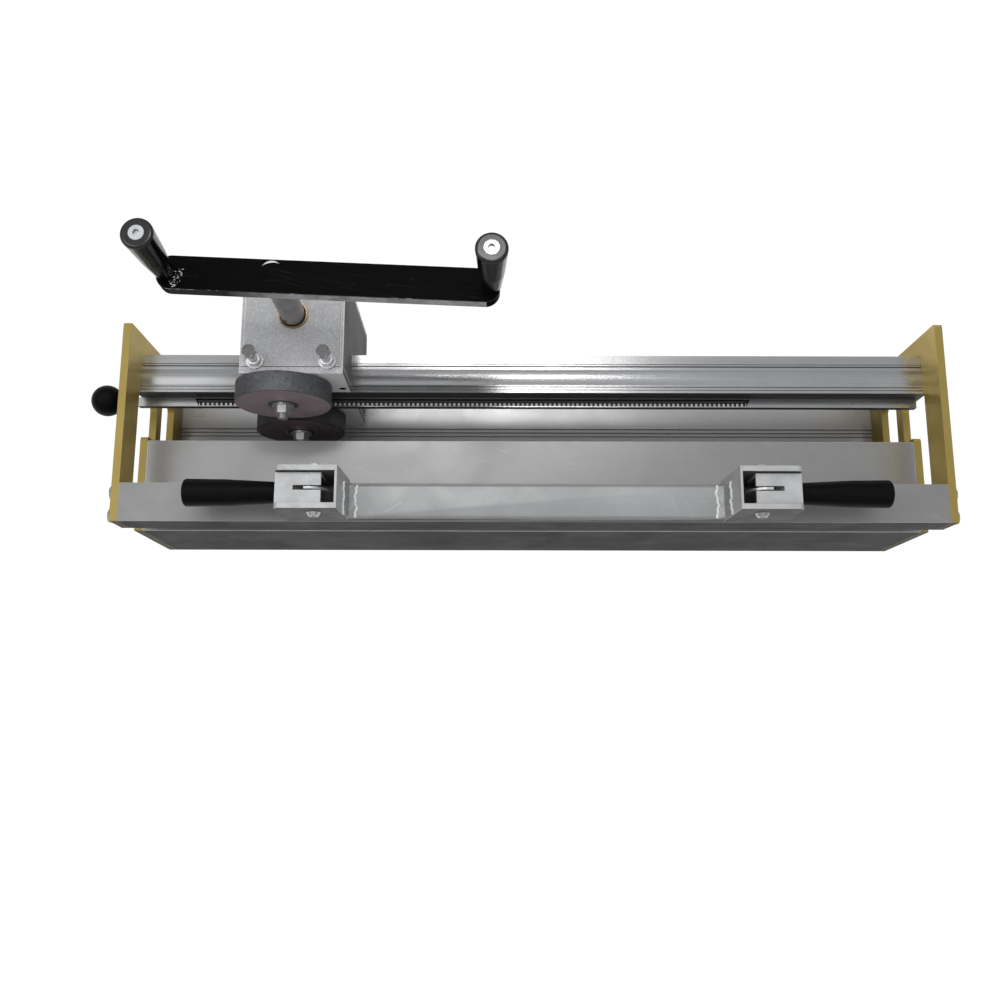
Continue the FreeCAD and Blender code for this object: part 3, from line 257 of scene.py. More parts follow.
class PatternShop:
    """Makes each shared pattern once."""

    def __init__(self) -> None:
        """Build every group."""
        makers = {
            Pattern.STREAKS: self.streaks, Pattern.SPECKLE: self.speckle,
            Pattern.SCRATCHES: self.scratches, Pattern.SMUDGE: self.smudge,
            Pattern.TURNED: self.turned, Pattern.CHIPS: self.chips, Pattern.SHADE: self.shade,
        }
        self.groups = {pattern: make(GroupBuilder(pattern.value)) for pattern, make in makers.items()}

    @staticmethod
    def streaks(group: GroupBuilder) -> bpy.types.ShaderNodeTree:
        """Long drawn lines: noise that is stretched along one axis."""
        (stretch,) = group.inputs(Stretch=(4.0, 900.0, 900.0))
        drawn = group.vector("MULTIPLY", group.place, stretch)
        return group.finish(group.noise(drawn, Scale=1.0, Detail=5.0, Roughness=0.6))

    @staticmethod
    def speckle(group: GroupBuilder) -> bpy.types.ShaderNodeTree:
        """The fine sparkle of a blasted face: small cells over a cloud."""
        (density,) = group.inputs(Density=1500.0)
        cells = group.node("TexVoronoi", {"Vector": group.place, "Scale": density})
        cloud = group.noise(group.place, Scale=320.0, Detail=4.0)
        tone = group.node("SeparateColor", {"Color": cells.outputs["Color"]})
        return group.finish(group.math("MULTIPLY", tone.outputs[0], cloud))

    @staticmethod
    def scratches(group: GroupBuilder) -> bpy.types.ShaderNodeTree:
        """Fine stray scratches: thin contour lines of a stretched and turned noise."""
        width, turn = group.inputs(Width=0.012, Turn=0.4)
        turned = group.node("VectorRotate", {"Vector": group.place, "Angle": turn}, rotation_type="Z_AXIS")
        drawn = group.vector("MULTIPLY", turned.outputs[0], (9.0, 130.0, 60.0))
        gap = group.math("SUBTRACT", group.noise(drawn, Scale=1.0, Detail=1.5), 0.5)
        line = group.ramp(group.math("ABSOLUTE", gap), 0.0, width, 1.0, 0.0)
        where = group.ramp(group.noise(group.place, Scale=24.0, Detail=2.0), 0.45, 0.7)
        return group.finish(group.math("MULTIPLY", line, where))

    @staticmethod
    def smudge(group: GroupBuilder) -> bpy.types.ShaderNodeTree:
        """Soft uneven patches from handling and oil."""
        (scale,) = group.inputs(Scale=14.0)
        cloud = group.noise(group.place, Scale=scale, Detail=6.0, Roughness=0.62, Distortion=0.4)
        return group.finish(group.ramp(cloud, 0.3, 0.72))

    @staticmethod
    def turned(group: GroupBuilder) -> bpy.types.ShaderNodeTree:
        """Lathe lines about an axle that runs front to back."""
        centre, pitch = group.inputs(Centre=(0.0, 0.0, 0.0), Pitch=900.0)
        flat = group.vector("MULTIPLY", group.vector("SUBTRACT", group.place, centre), (1.0, 0.0, 1.0))
        rings = group.math("MULTIPLY", group.vector("LENGTH", flat), pitch)
        cloud = group.noise(group.place, Scale=30.0, Detail=3.0)
        spot = group.node("CombineXYZ", {"0": rings, "1": cloud})
        return group.finish(group.noise(spot.outputs[0], Scale=1.0, Detail=3.0))

    @staticmethod
    def chips(group: GroupBuilder) -> bpy.types.ShaderNodeTree:
        """Small bare patches where paint has come off, denser where the cloud is high."""
        scale, amount = group.inputs(Scale=240.0, Amount=0.3)
        flakes = group.noise(group.place, Scale=scale, Detail=5.0, Roughness=0.7)
        cloud = group.noise(group.place, Scale=18.0, Detail=2.0)
        level = group.math("SUBTRACT", 0.5, amount)
        border = group.math("ADD", level, 0.04)
        return group.finish(group.ramp(group.math("MULTIPLY", flakes, cloud), level, border))

    @staticmethod
    def shade(group: GroupBuilder) -> bpy.types.ShaderNodeTree:
        """Painted shade on the gold plates and paint wear on the crank's front: a fade from one end of a direction to
        the other, with an uneven border.
        """
        along, low, high = group.inputs(Along=(0.0, 0.0, 1.0), Low=0.0, High=0.2)
        reach = group.vector("DOT_PRODUCT", group.place, along)
        cloud = group.noise(group.place, Scale=12.0, Detail=3.0)
        return group.finish(group.ramp(group.math("MULTIPLY_ADD", cloud, 0.06, reach), low, high, 1.0, 0.0))


@dataclass(frozen=True)
class Layer:
    """One pattern laid over a finish.

    The pattern's mask moves the colour towards tint by share, adds to the roughness, and raises the bump.
    """

    pattern: Pattern
    tint: Colour
    share: float
    rough: float = 0.0
    lift: float = 0.0
    values: Values = ()

    def mask(self, shader: ShaderBuilder, shop: PatternShop) -> bpy.types.NodeSocket:
        """Place the pattern in a material.

        Args:
            shader: The material's nodes.
            shop: The shared patterns.

        Returns:
            The pattern's mask.
        """
        group = shader.node("Group", node_tree=shop.groups[self.pattern])
        for name, value in self.values:
            group.inputs[name].default_value = value
        return group.outputs["Mask"]


def streaks(tint: Colour, share: float, rough: float = 0.0, lift: float = 0.0,
            stretch: Triple = (4.0, 900.0, 900.0)) -> Layer:
    """A layer of drawn lines."""
    return Layer(Pattern.STREAKS, tint, share, rough, lift, (("Stretch", stretch),))


def speckle(tint: Colour, share: float, rough: float = 0.0, lift: float = 0.0, density: float = 1500.0) -> Layer:
    """A layer of fine sparkle."""
    return Layer(Pattern.SPECKLE, tint, share, rough, lift, (("Density", density),))


def scratches(tint: Colour, share: float, rough: float = 0.0, lift: float = 0.0, turn: float = 0.4) -> Layer:
    """A layer of stray scratches."""
    return Layer(Pattern.SCRATCHES, tint, share, rough, lift, (("Turn", turn),))


def smudge(tint: Colour, share: float, rough: float = 0.0, lift: float = 0.0, scale: float = 14.0) -> Layer:
    """A layer of soft patches."""
    return Layer(Pattern.SMUDGE, tint, share, rough, lift, (("Scale", scale),))


def chips(tint: Colour, share: float, rough: float, lift: float, amount: float, scale: float = 240.0) -> Layer:
    """A layer of bare patches."""
    return Layer(Pattern.CHIPS, tint, share, rough, lift, (("Amount", amount), ("Scale", scale)))


@dataclass(frozen=True)
class Finish:
    """One surface finish: a base and the layers that vary it."""

    name: str
    slot: str
    colour: Colour
    roughness: float
    metallic: float
    layers: tuple[Layer, ...]
    bump: float = 0.25
    grain_depth: float = 0.0002
    specular: float = 0.5

    def build(self, shop: PatternShop) -> bpy.types.Material:
        """Make the material.

        Args:
            shop: The shared patterns.

        Returns:
            The material.
        """
        material = bpy.data.materials.new(self.name)
        material.use_nodes = True
        shader = ShaderBuilder(material.node_tree)
        surface = material.node_tree.nodes["Principled BSDF"].inputs
        surface["Metallic"].default_value = self.metallic
        surface["Specular IOR Level"].default_value = self.specular
        colour: object = rgba(self.colour)
        rough: object = self.roughness
        height: object = None
        for layer in self.layers:
            mask = layer.mask(shader, shop)
            amount = shader.math("MULTIPLY", mask, layer.share)
            colour = shader.node("Mix", {"Factor": amount, "6": colour, "7": rgba(layer.tint)},
                                 data_type="RGBA").outputs[2]
            if layer.rough:
                rough = shader.math("MULTIPLY_ADD", mask, layer.rough, rough, use_clamp=True)
            if layer.lift:
                start = 0.0 if height is None else height
                height = shader.math("MULTIPLY_ADD", mask, layer.lift, start, use_clamp=True)
        shader.feed(surface["Base Color"], colour)
        shader.feed(surface["Roughness"], rough)
        if height is not None:
            bump = shader.node("Bump", {"Strength": self.bump, "Distance": self.grain_depth, "Height": height})
            shader.feed(surface["Normal"], bump.outputs["Normal"])
        return material


# Where the rollers' axles are, for the lathe lines on their faces.
ROLLER_X, UPPER_ROLLER_Z, LOWER_ROLLER_Z = -0.261, 0.1963, 0.0877
LATHE_PITCH = 1100.0


def satin(name: str, gain: float, roughness: float) -> Finish:
    """The satin aluminium of the tables.

    Args:
        name: The finish's name.
        gain: How light it is.
        roughness: How dull it is.

    Returns:
        The finish.
    """
    return Finish(
        name, "table_aluminium", scaled((0.252, 0.248, 0.246), gain), roughness, 0.4,
        (streaks(scaled((0.335, 0.33, 0.327), gain), 0.6, 0.08, 0.4),
         smudge(scaled((0.20, 0.197, 0.195), gain), 0.45, 0.1),
         scratches(grey(0.5), 0.2, 0.0, 0.1)))


def roller_face(name: str, height: float, gain: float) -> Finish:
    """The turned face of one roller.

    Args:
        name: The finish's name.
        height: The axle's height.
        gain: How light it is.

    Returns:
        The finish.
    """
    lathe = (("Centre", (ROLLER_X, 0.0, height)), ("Pitch", LATHE_PITCH))
    return Finish(
        name, "roller_steel", scaled((0.28, 0.215, 0.232), gain), 0.40, 0.3,
        (Layer(Pattern.TURNED, scaled((0.50, 0.40, 0.425), gain), 0.7, 0.2, 0.9, lathe),
         smudge(scaled((0.15, 0.11, 0.12), gain), 0.5, 0.15, 0.0, 30.0)))


GOLD_FACE = Finish(
    "gold_anodised", "brass_anodised", (0.58, 0.42, 0.09), 0.32, 0.6,
    (streaks((0.66, 0.50, 0.15), 0.5, 0.16, 0.5, (500.0, 500.0, 7.0)),
     # Painted shade: this layer darkens the plate's inner face towards its bottom.
     Layer(Pattern.SHADE, (0.12, 0.086, 0.01), 0.72, 0.1, 0.0, (("Low", 0.03), ("High", 0.215))),
     smudge((0.20, 0.14, 0.025), 0.35, 0.12),
     scratches((0.70, 0.60, 0.30), 0.25, 0.0, 0.1, 1.2)))
GOLD_EDGE = Finish(
    "gold_edge", "brass_anodised", (0.30, 0.217, 0.045), 0.36, 0.5,
    (streaks((0.44, 0.335, 0.105), 0.6, 0.15, 0.3, (700.0, 30.0, 30.0)),
     smudge((0.28, 0.20, 0.05), 0.35, 0.1)))
# Painted shade: the gold plates' front edges are written dark, as faces turned from the light.
GOLD_FRONT_SHADE = Finish(
    "gold_front_painted_shade", "brass_anodised", (0.05, 0.04, 0.01), 0.55, 0.3,
    (streaks((0.10, 0.08, 0.025), 0.5, 0.1, 0.3, (500.0, 500.0, 7.0)),
     smudge((0.03, 0.024, 0.008), 0.5, 0.1)))
TABLE = satin("satin_table", 0.95, 0.42)
BOX = satin("satin_box", 1.02, 0.24)
# Painted light: the base plate is the same satin aluminium written much lighter, to undo the shade it sits in.
BASE_LIT = satin("satin_base_painted_light", 1.65, 0.22)
# Painted highlight: the eased edges of the tables and of the clamp bar are written light, as a lit rim.
EDGE_HIGHLIGHT = Finish(
    "table_edge_painted_highlight", "table_aluminium", (0.50, 0.51, 0.51), 0.30, 0.6,
    (streaks((0.68, 0.69, 0.69), 0.6, 0.12, 0.3, (40.0, 900.0, 900.0)),
     smudge((0.30, 0.31, 0.31), 0.5, 0.15, 0.0, 40.0)))
# Painted shade: the front faces of the tables are written dark, as faces turned from the light.
TABLE_FRONT_SHADE = Finish(
    "table_front_painted_shade", "table_aluminium", (0.062, 0.062, 0.064), 0.62, 0.1,
    (streaks((0.145, 0.145, 0.148), 0.7, 0.1, 0.4, (3.0, 600.0, 600.0)),
     smudge((0.014, 0.014, 0.015), 0.7, 0.1),
     chips(grey(0.30), 0.25, 0.1, 0.2, 0.10, 420.0)), specular=0.2)
BEAM = Finish(
    "drawn_beam", "beam_aluminium", (0.25, 0.25, 0.252), 0.13, 0.8,
    (streaks(grey(0.44), 0.7, 0.12, 0.5, (3.0, 700.0, 700.0)),
     smudge((0.17, 0.17, 0.173), 0.3, 0.1)))
# Painted shade: near black laid in the recess under the comb and on the beam's front face.
RECESS_SHADE = Finish(
    "recess_painted_shade", "beam_aluminium", (0.018, 0.018, 0.019), 0.45, 0.3,
    (smudge(grey(0.05), 0.6, 0.2, 0.2, 90.0),
     streaks(grey(0.06), 0.4, 0.1, 0.3)))
CARRIAGE = Finish(
    "blasted_carriage", "carriage_aluminium", (0.43, 0.427, 0.43), 0.55, 0.3,
    (speckle((0.88, 0.88, 0.89), 0.9, -0.15, 1.0, 1300.0),
     smudge((0.36, 0.357, 0.36), 0.25, 0.08)), bump=0.35)
# Painted highlight: the carriage's eased edges are written near white.
CARRIAGE_EDGE_HIGHLIGHT = Finish(
    "carriage_edge_painted_highlight", "carriage_aluminium", grey(0.95), 0.40, 0.2,
    (smudge(grey(0.75), 0.5, 0.1, 0.0, 60.0),))
CARRIAGE_FRONT = Finish(
    "lit_carriage_front", "carriage_aluminium", (0.94, 0.935, 0.935), 0.5, 0.0,
    (speckle(grey(1.0), 0.8, -0.1, 0.8, 1300.0),
     smudge((0.80, 0.79, 0.79), 0.3, 0.1)), bump=0.3)
CARRIAGE_SIDE = Finish(
    "shaded_carriage_side", "carriage_aluminium", grey(0.13), 0.5, 0.0,
    (streaks(grey(0.22), 0.8, 0.1, 0.5, (500.0, 500.0, 6.0)),
     smudge(grey(0.09), 0.5, 0.1)), specular=0.15)
SEAM = Finish(
    "carriage_seam", "carriage_aluminium", grey(0.05), 0.6, 0.0,
    (smudge(grey(0.16), 0.5, 0.1, 0.0, 80.0),))
CLAMP = Finish(
    "brushed_clamp", "clamp_aluminium", grey(0.35), 0.40, 0.45,
    (streaks(grey(0.46), 0.6, 0.1, 0.5, (8.0, 500.0, 500.0)),
     smudge(grey(0.27), 0.5, 0.15),
     scratches(grey(0.7), 0.14, -0.1, 0.2, 0.9)))
CLAMP_HEAD = Finish(
    "milled_clamp_head", "clamp_aluminium", grey(0.52), 0.42, 0.35,
    (streaks(grey(0.64), 0.5, 0.1, 0.4, (30.0, 300.0, 300.0)),
     smudge(grey(0.36), 0.6, 0.15, 0.0, 45.0),
     scratches(grey(0.25), 0.4, 0.1, 0.2, 0.6)))
# Painted shade: the front faces of the clamp parts are written dark, as faces turned from the light.
CLAMP_FRONT_SHADE = Finish(
    "clamp_front_painted_shade", "clamp_aluminium", (0.12, 0.12, 0.122), 0.55, 0.3,
    (streaks(grey(0.2), 0.6, 0.1, 0.4, (12.0, 500.0, 500.0)),
     smudge(grey(0.06), 0.5, 0.15, 0.0, 50.0)))
WELD = Finish(
    "weld_bead", "clamp_aluminium", (0.34, 0.34, 0.342), 0.40, 0.5,
    (speckle(grey(0.80), 0.5, 0.1, 1.0, 500.0),
     smudge(grey(0.24), 0.6, 0.2, 0.5, 120.0)), bump=0.5, grain_depth=0.0004)
# Painted highlight on the drops of the weld rims; on the clamp bar's scratch it is the scratch's real bare metal.
RIM_HIGHLIGHT_AND_SCRATCH = Finish(
    "weld_rim_highlight_and_bare_scratch", "clamp_aluminium", grey(0.92), 0.35, 0.2,
    (smudge(grey(0.70), 0.4, 0.1, 0.0, 60.0),))
ZINC = Finish(
    "zinc_screws", "zinc_steel", (0.58, 0.58, 0.59), 0.26, 0.8,
    (smudge((0.13, 0.13, 0.135), 0.6, 0.15, 0.2, 90.0),
     speckle(grey(0.75), 0.3, 0.0, 0.3)))
ZINC_EDGE = Finish(
    "zinc_shadow", "zinc_steel", (0.10, 0.10, 0.105), 0.36, 0.6,
    (smudge((0.04, 0.04, 0.042), 0.6, 0.15, 0.2, 120.0),))
ZINC_TOP = Finish(
    "zinc_head", "zinc_steel", (0.055, 0.055, 0.057), 0.5, 0.2,
    (smudge(grey(0.30), 0.5, 0.1, 0.4, 260.0),
     speckle(grey(0.6), 0.3, 0.0, 0.3)))
# Painted shade: near black laid in holes, in the gap round the upper shaft bush and on the carriage's set-back front
# faces.
HOLE_SHADE = Finish(
    "hole_painted_shade", "ground_steel", grey(0.002), 0.6, 0.0,
    (smudge(grey(0.006), 0.5, 0.1, 0.1, 90.0),), specular=0.05)
# Real bare metal where the crank's paint has worn, at the grip's specks and the shaft's rim; on the front flats and
# tops of screws and nuts, on the thread crests and on the shaft's rim the brightness is a painted highlight.
BARE_AND_HIGHLIGHT = Finish(
    "bare_metal_and_painted_highlight", "zinc_steel", grey(0.80), 0.34, 0.5,
    (smudge(grey(0.60), 0.5, 0.15, 0.2, 90.0),))
GROUND = Finish(
    "ground_steel", "ground_steel", (0.34, 0.32, 0.318), 0.26, 0.85,
    (streaks((0.62, 0.60, 0.60), 0.6, 0.15, 0.6, (420.0, 420.0, 900.0)),
     smudge((0.16, 0.145, 0.14), 0.5, 0.15, 0.0, 90.0)))
RACK_STEEL = Finish(
    "oiled_rack", "ground_steel", (0.035, 0.034, 0.033), 0.4, 0.6,
    (smudge((0.09, 0.087, 0.083), 0.6, 0.2, 0.2, 80.0),
     streaks(grey(0.12), 0.3, 0.1, 0.3)))
BLACK = Finish(
    "black_paint", "black_steel", (0.0010, 0.0010, 0.0011), 0.40, 0.0,
    (smudge((0.004, 0.004, 0.0045), 0.7, 0.2, 0.3, 26.0),
     scratches(grey(0.08), 0.3, 0.1, 0.0, 0.2),
     chips(grey(0.40), 0.9, 0.2, -0.4, 0.05)), specular=0.03)
WORN_EDGE = Finish(
    "worn_black_edge", "black_steel", (0.006, 0.006, 0.007), 0.40, 0.1,
    (smudge(grey(0.06), 0.8, 0.15, 0.3, 70.0),
     chips(grey(0.40), 0.9, 0.1, -0.4, 0.20, 160.0)), specular=0.2)
WORN_FRONT = Finish(
    "worn_black_front", "black_steel", (0.006, 0.006, 0.007), 0.45, 0.1,
    (Layer(Pattern.SHADE, (0.85, 0.83, 0.84), 0.95, 0.05, 0.0,
           (("Along", (1.0, 0.0, 0.0)), ("Low", -0.215), ("High", -0.27))),
     smudge(grey(0.05), 0.7, 0.1, 0.2, 45.0),
     chips(grey(0.30), 0.7, 0.1, -0.3, 0.12, 160.0)), specular=0.2)
UPPER_RIM = Finish(
    "upper_roller_rim", "roller_steel", (0.070, 0.074, 0.080), 0.45, 0.5,
    (smudge((0.165, 0.165, 0.17), 0.85, 0.15, 0.2, 40.0),
     speckle((0.02, 0.02, 0.022), 0.6, 0.1, 0.3, 500.0),
     scratches((0.25, 0.25, 0.26), 0.3, 0.0, 0.2)))
# Painted shade: the lower roller is the same steel as the upper one, written darker because it sits in shade under the
# table.
LOWER_RIM_SHADE = Finish(
    "lower_roller_rim_painted_shade", "roller_steel", (0.026, 0.026, 0.028), 0.45, 0.5,
    (smudge((0.06, 0.06, 0.062), 0.6, 0.15, 0.2, 40.0),
     scratches(grey(0.16), 0.3, 0.0, 0.2)))
BRONZE = Finish(
    "oiled_bronze", "bronze", (0.30, 0.20, 0.09), 0.26, 0.8,
    (smudge((0.52, 0.40, 0.24), 0.6, 0.12, 0.2, 120.0),
     speckle((0.10, 0.055, 0.02), 0.4, 0.1, 0.3)))
PLASTIC = Finish(
    "black_lever", "black_plastic", (0.0022, 0.0022, 0.0025), 0.36, 0.0,
    (smudge((0.006, 0.006, 0.007), 0.6, 0.2, 0.1, 45.0),
     speckle(grey(0.008), 0.4, 0.06, 0.25)), bump=0.12, specular=0.06)
GRIP = Finish(
    "glossy_grip", "black_plastic", (0.003, 0.003, 0.0034), 0.12, 0.0,
    (smudge((0.008, 0.008, 0.009), 0.6, 0.15, 0.1, 45.0),
     speckle(grey(0.010), 0.4, 0.06, 0.1)), bump=0.05)
NYLON = Finish(
    "white_nylon", "white_nylon", (0.62, 0.61, 0.56), 0.5, 0.0,
    (smudge((0.45, 0.43, 0.38), 0.5, 0.15, 0.2),
     speckle((0.7, 0.7, 0.66), 0.3, 0.05, 0.3)))
# Painted highlight: the comb's tooth tops are written light against their dark sides.
COMB_TOP_HIGHLIGHT = Finish(
    "comb_top_painted_highlight", "ground_steel", (0.62, 0.60, 0.55), 0.40, 0.5,
    (smudge((0.30, 0.28, 0.24), 0.6, 0.2, 0.2, 80.0),
     streaks((0.72, 0.70, 0.66), 0.4, 0.1, 0.3)))
# Painted light and shade: the upper roller's face is written lighter (gain 1.2) and the lower one's darker (gain 0.5).
UPPER_FACE = roller_face("upper_roller_face", UPPER_ROLLER_Z, 1.2)
LOWER_FACE_SHADE = roller_face("lower_roller_face_painted_shade", LOWER_ROLLER_Z, 0.5)
FINISHES = (GOLD_FACE, GOLD_EDGE, GOLD_FRONT_SHADE, TABLE, BOX, BASE_LIT, EDGE_HIGHLIGHT, TABLE_FRONT_SHADE, BEAM, RECESS_SHADE, CARRIAGE,
            CARRIAGE_EDGE_HIGHLIGHT, CARRIAGE_FRONT, CARRIAGE_SIDE, SEAM, CLAMP, CLAMP_HEAD, CLAMP_FRONT_SHADE, WELD, RIM_HIGHLIGHT_AND_SCRATCH, ZINC,
            ZINC_EDGE, ZINC_TOP, HOLE_SHADE, BARE_AND_HIGHLIGHT, GROUND, RACK_STEEL, BLACK, WORN_EDGE, WORN_FRONT, UPPER_RIM, LOWER_RIM_SHADE,
            BRONZE, PLASTIC, GRIP, NYLON, COMB_TOP_HIGHLIGHT, UPPER_FACE, LOWER_FACE_SHADE)


class Way(Enum):
    """The ways that a patched face can look: the axis and the sign."""

    RIGHT = (0, 1)
    FRONT = (1, -1)
    BACK = (1, 1)
    UP = (2, 1)


@dataclass(frozen=True)
class Patch:
    """Another finish for the faces that look one way, between two places along that way's axis."""

    way: Way
    finish: Finish
    low: float = -9.0
    high: float = 9.0
    square: float = 0.99

    def covers(self, face: bmesh.types.BMFace) -> bool:
        """Tell whether a face belongs to the patch.

        Args:
            face: The face.

        Returns:
            Whether it looks the patch's way and lies between its places.
        """
        axis, sign = self.way.value
        return face.normal[axis] * sign > self.square and self.low < face.calc_center_median()[axis] < self.high


@dataclass(frozen=True)
class Spot:
    """Another finish for the faces whose middles lie near a place."""

    finish: Finish
    centre: Triple
    reach: float

    def covers(self, face: bmesh.types.BMFace) -> bool:
        """Tell whether a face's middle is within reach."""
        return (face.calc_center_median() - Vector(self.centre)).length < self.reach


class RepeatTree(TreeBuilder):
    """A Geometry Nodes tree with named inputs, ended by Realize Instances and Set Material."""

    def __init__(self, name: str, sizes: dict[str, float]) -> None:
        """Make the tree with its sockets.

        Args:
            name: The tree's name.
            sizes: Each input's default value, by name.
        """
        super().__init__(bpy.data.node_groups.new(name, "GeometryNodeTree"))
        self.socket("Geometry", "Geometry")
        for label, default in sizes.items():
            self.socket(label, "Int" if isinstance(default, int) else "Float", default)
        self.socket("Finish", "Material")
        self.socket("Geometry", "Geometry", in_out="OUTPUT")
        self.inlet = self.tree.nodes.new("NodeGroupInput").outputs
        self.outlet = self.tree.nodes.new("NodeGroupOutput").inputs

    def close(self, geometry: bpy.types.NodeSocket) -> bpy.types.GeometryNodeTree:
        """Realize the instances, set the finish and lead the result out.

        Args:
            geometry: What the tree made.

        Returns:
            The finished tree.
        """
        real = self.node("GeometryNodeRealizeInstances", {"Geometry": geometry})
        dressed = self.node("GeometryNodeSetMaterial", {"Geometry": real.outputs[0], "Material": self.inlet["Finish"]})
        self.feed(self.outlet["Geometry"], dressed.outputs[0])
        return self.tree


class Repeats:
    """The trees for what repeats: screw threads, weld beads and specks of bare metal."""

    def __init__(self) -> None:
        """Build each tree once."""
        self.thread = self.make_thread()
        self.bead = self.make_bead()
        self.specks = self.make_specks()

    @staticmethod
    def make_thread() -> bpy.types.GeometryNodeTree:
        """Thread crests: a stack of sharp rings up the Z axis from each point."""
        made = RepeatTree("screw_thread", {"Count": 8, "Pitch": 0.00125, "Radius": 0.004, "Crest": 0.0004})
        size = made.inlet
        step = made.node("ShaderNodeCombineXYZ", {"Z": size["Pitch"]})
        stack = made.node("GeometryNodeMeshLine", {"Count": size["Count"], "Offset": step.outputs[0]})
        ring = made.node("GeometryNodeCurvePrimitiveCircle", {"Resolution": 28, "Radius": size["Radius"]})
        crest = made.node("GeometryNodeCurvePrimitiveCircle", {"Resolution": 4, "Radius": size["Crest"]})
        round_one = made.node("GeometryNodeCurveToMesh", {"Curve": ring.outputs[0], "Profile Curve": crest.outputs[0]})
        pile = made.node("GeometryNodeInstanceOnPoints", {"Points": stack.outputs[0], "Instance": round_one.outputs[0]})
        spots = made.node("GeometryNodeInstanceOnPoints", {"Points": size["Geometry"], "Instance": pile.outputs[0]})
        return made.close(spots.outputs[0])

    @staticmethod
    def make_bead() -> bpy.types.GeometryNodeTree:
        """A weld's rim: uneven overlapping drops along each edge of the carrier."""
        made = RepeatTree("weld_run", {"Drop": 0.004, "Step": 0.0028, "Flat": 0.35, "Seed": 7})
        size = made.inlet
        path = made.node("GeometryNodeMeshToCurve", {"Mesh": size["Geometry"]})
        points = made.node("GeometryNodeCurveToPoints", {"Curve": path.outputs[0], "Length": size["Step"]},
                           mode="LENGTH")
        stray = (0.0003, 0.0003, 0.0002)
        jitter = made.node("FunctionNodeRandomValue", {"Min": tuple(-way for way in stray), "Max": stray,
                                                       "Seed": size["Seed"]}, data_type="FLOAT_VECTOR")
        moved = made.node("GeometryNodeSetPosition", {"Geometry": points.outputs[0], "Offset": jitter.outputs[0]})
        drop = made.node("GeometryNodeMeshIcoSphere", {"Radius": size["Drop"], "Subdivisions": 3})
        squeeze = made.node("ShaderNodeCombineXYZ", {"X": 1.0, "Y": 1.0, "Z": size["Flat"]})
        flat = made.node("GeometryNodeTransform", {"Geometry": drop.outputs[0], "Scale": squeeze.outputs[0]})
        least, most = 0.8, 1.2
        growth = made.node("FunctionNodeRandomValue", {"2": least, "3": most, "Seed": size["Seed"]}, data_type="FLOAT")
        run = made.node("GeometryNodeInstanceOnPoints", {"Points": moved.outputs[0], "Instance": flat.outputs[0],
                                                         "Scale": growth.outputs[1]})
        real = made.node("GeometryNodeRealizeInstances", {"Geometry": run.outputs[0]})
        smooth = made.node("GeometryNodeSetShadeSmooth", {"Geometry": real.outputs[0]})
        return made.close(smooth.outputs[0])

    @staticmethod
    def make_specks() -> bpy.types.GeometryNodeTree:
        """Flat specks strewn over the carrier's faces."""
        made = RepeatTree("bare_specks", {"Density": 40000.0, "Size": 0.0005, "Seed": 3})
        size = made.inlet
        strewn = made.node("GeometryNodeDistributePointsOnFaces",
                           {"Mesh": size["Geometry"], "Density": size["Density"], "Seed": size["Seed"]})
        flake = made.node("GeometryNodeMeshIcoSphere", {"Radius": size["Size"], "Subdivisions": 2})
        flat = made.node("GeometryNodeTransform", {"Geometry": flake.outputs[0], "Scale": (1.0, 1.0, 0.25)})
        growth = made.node("FunctionNodeRandomValue", {"Min": (0.3, 0.3, 0.5), "Max": (1.7, 1.1, 1.0),
                                                       "Seed": size["Seed"]}, data_type="FLOAT_VECTOR")
        spots = made.node("GeometryNodeInstanceOnPoints", {"Points": strewn.outputs[0], "Instance": flat.outputs[0],
                                                           "Rotation": strewn.outputs["Rotation"],
                                                           "Scale": growth.outputs[0]})
        return made.close(spots.outputs[0])


def soften(work: bmesh.types.BMesh, limit: float) -> None:
    """Shade a mesh smooth, apart from its sharp edges.

    Args:
        work: The mesh.
        limit: The angle from which an edge is sharp.
    """
    for edge in work.edges:
        edge.smooth = len(edge.link_faces) == 2 and edge.calc_face_angle(0.0) < limit
    for face in work.faces:
        face.smooth = True


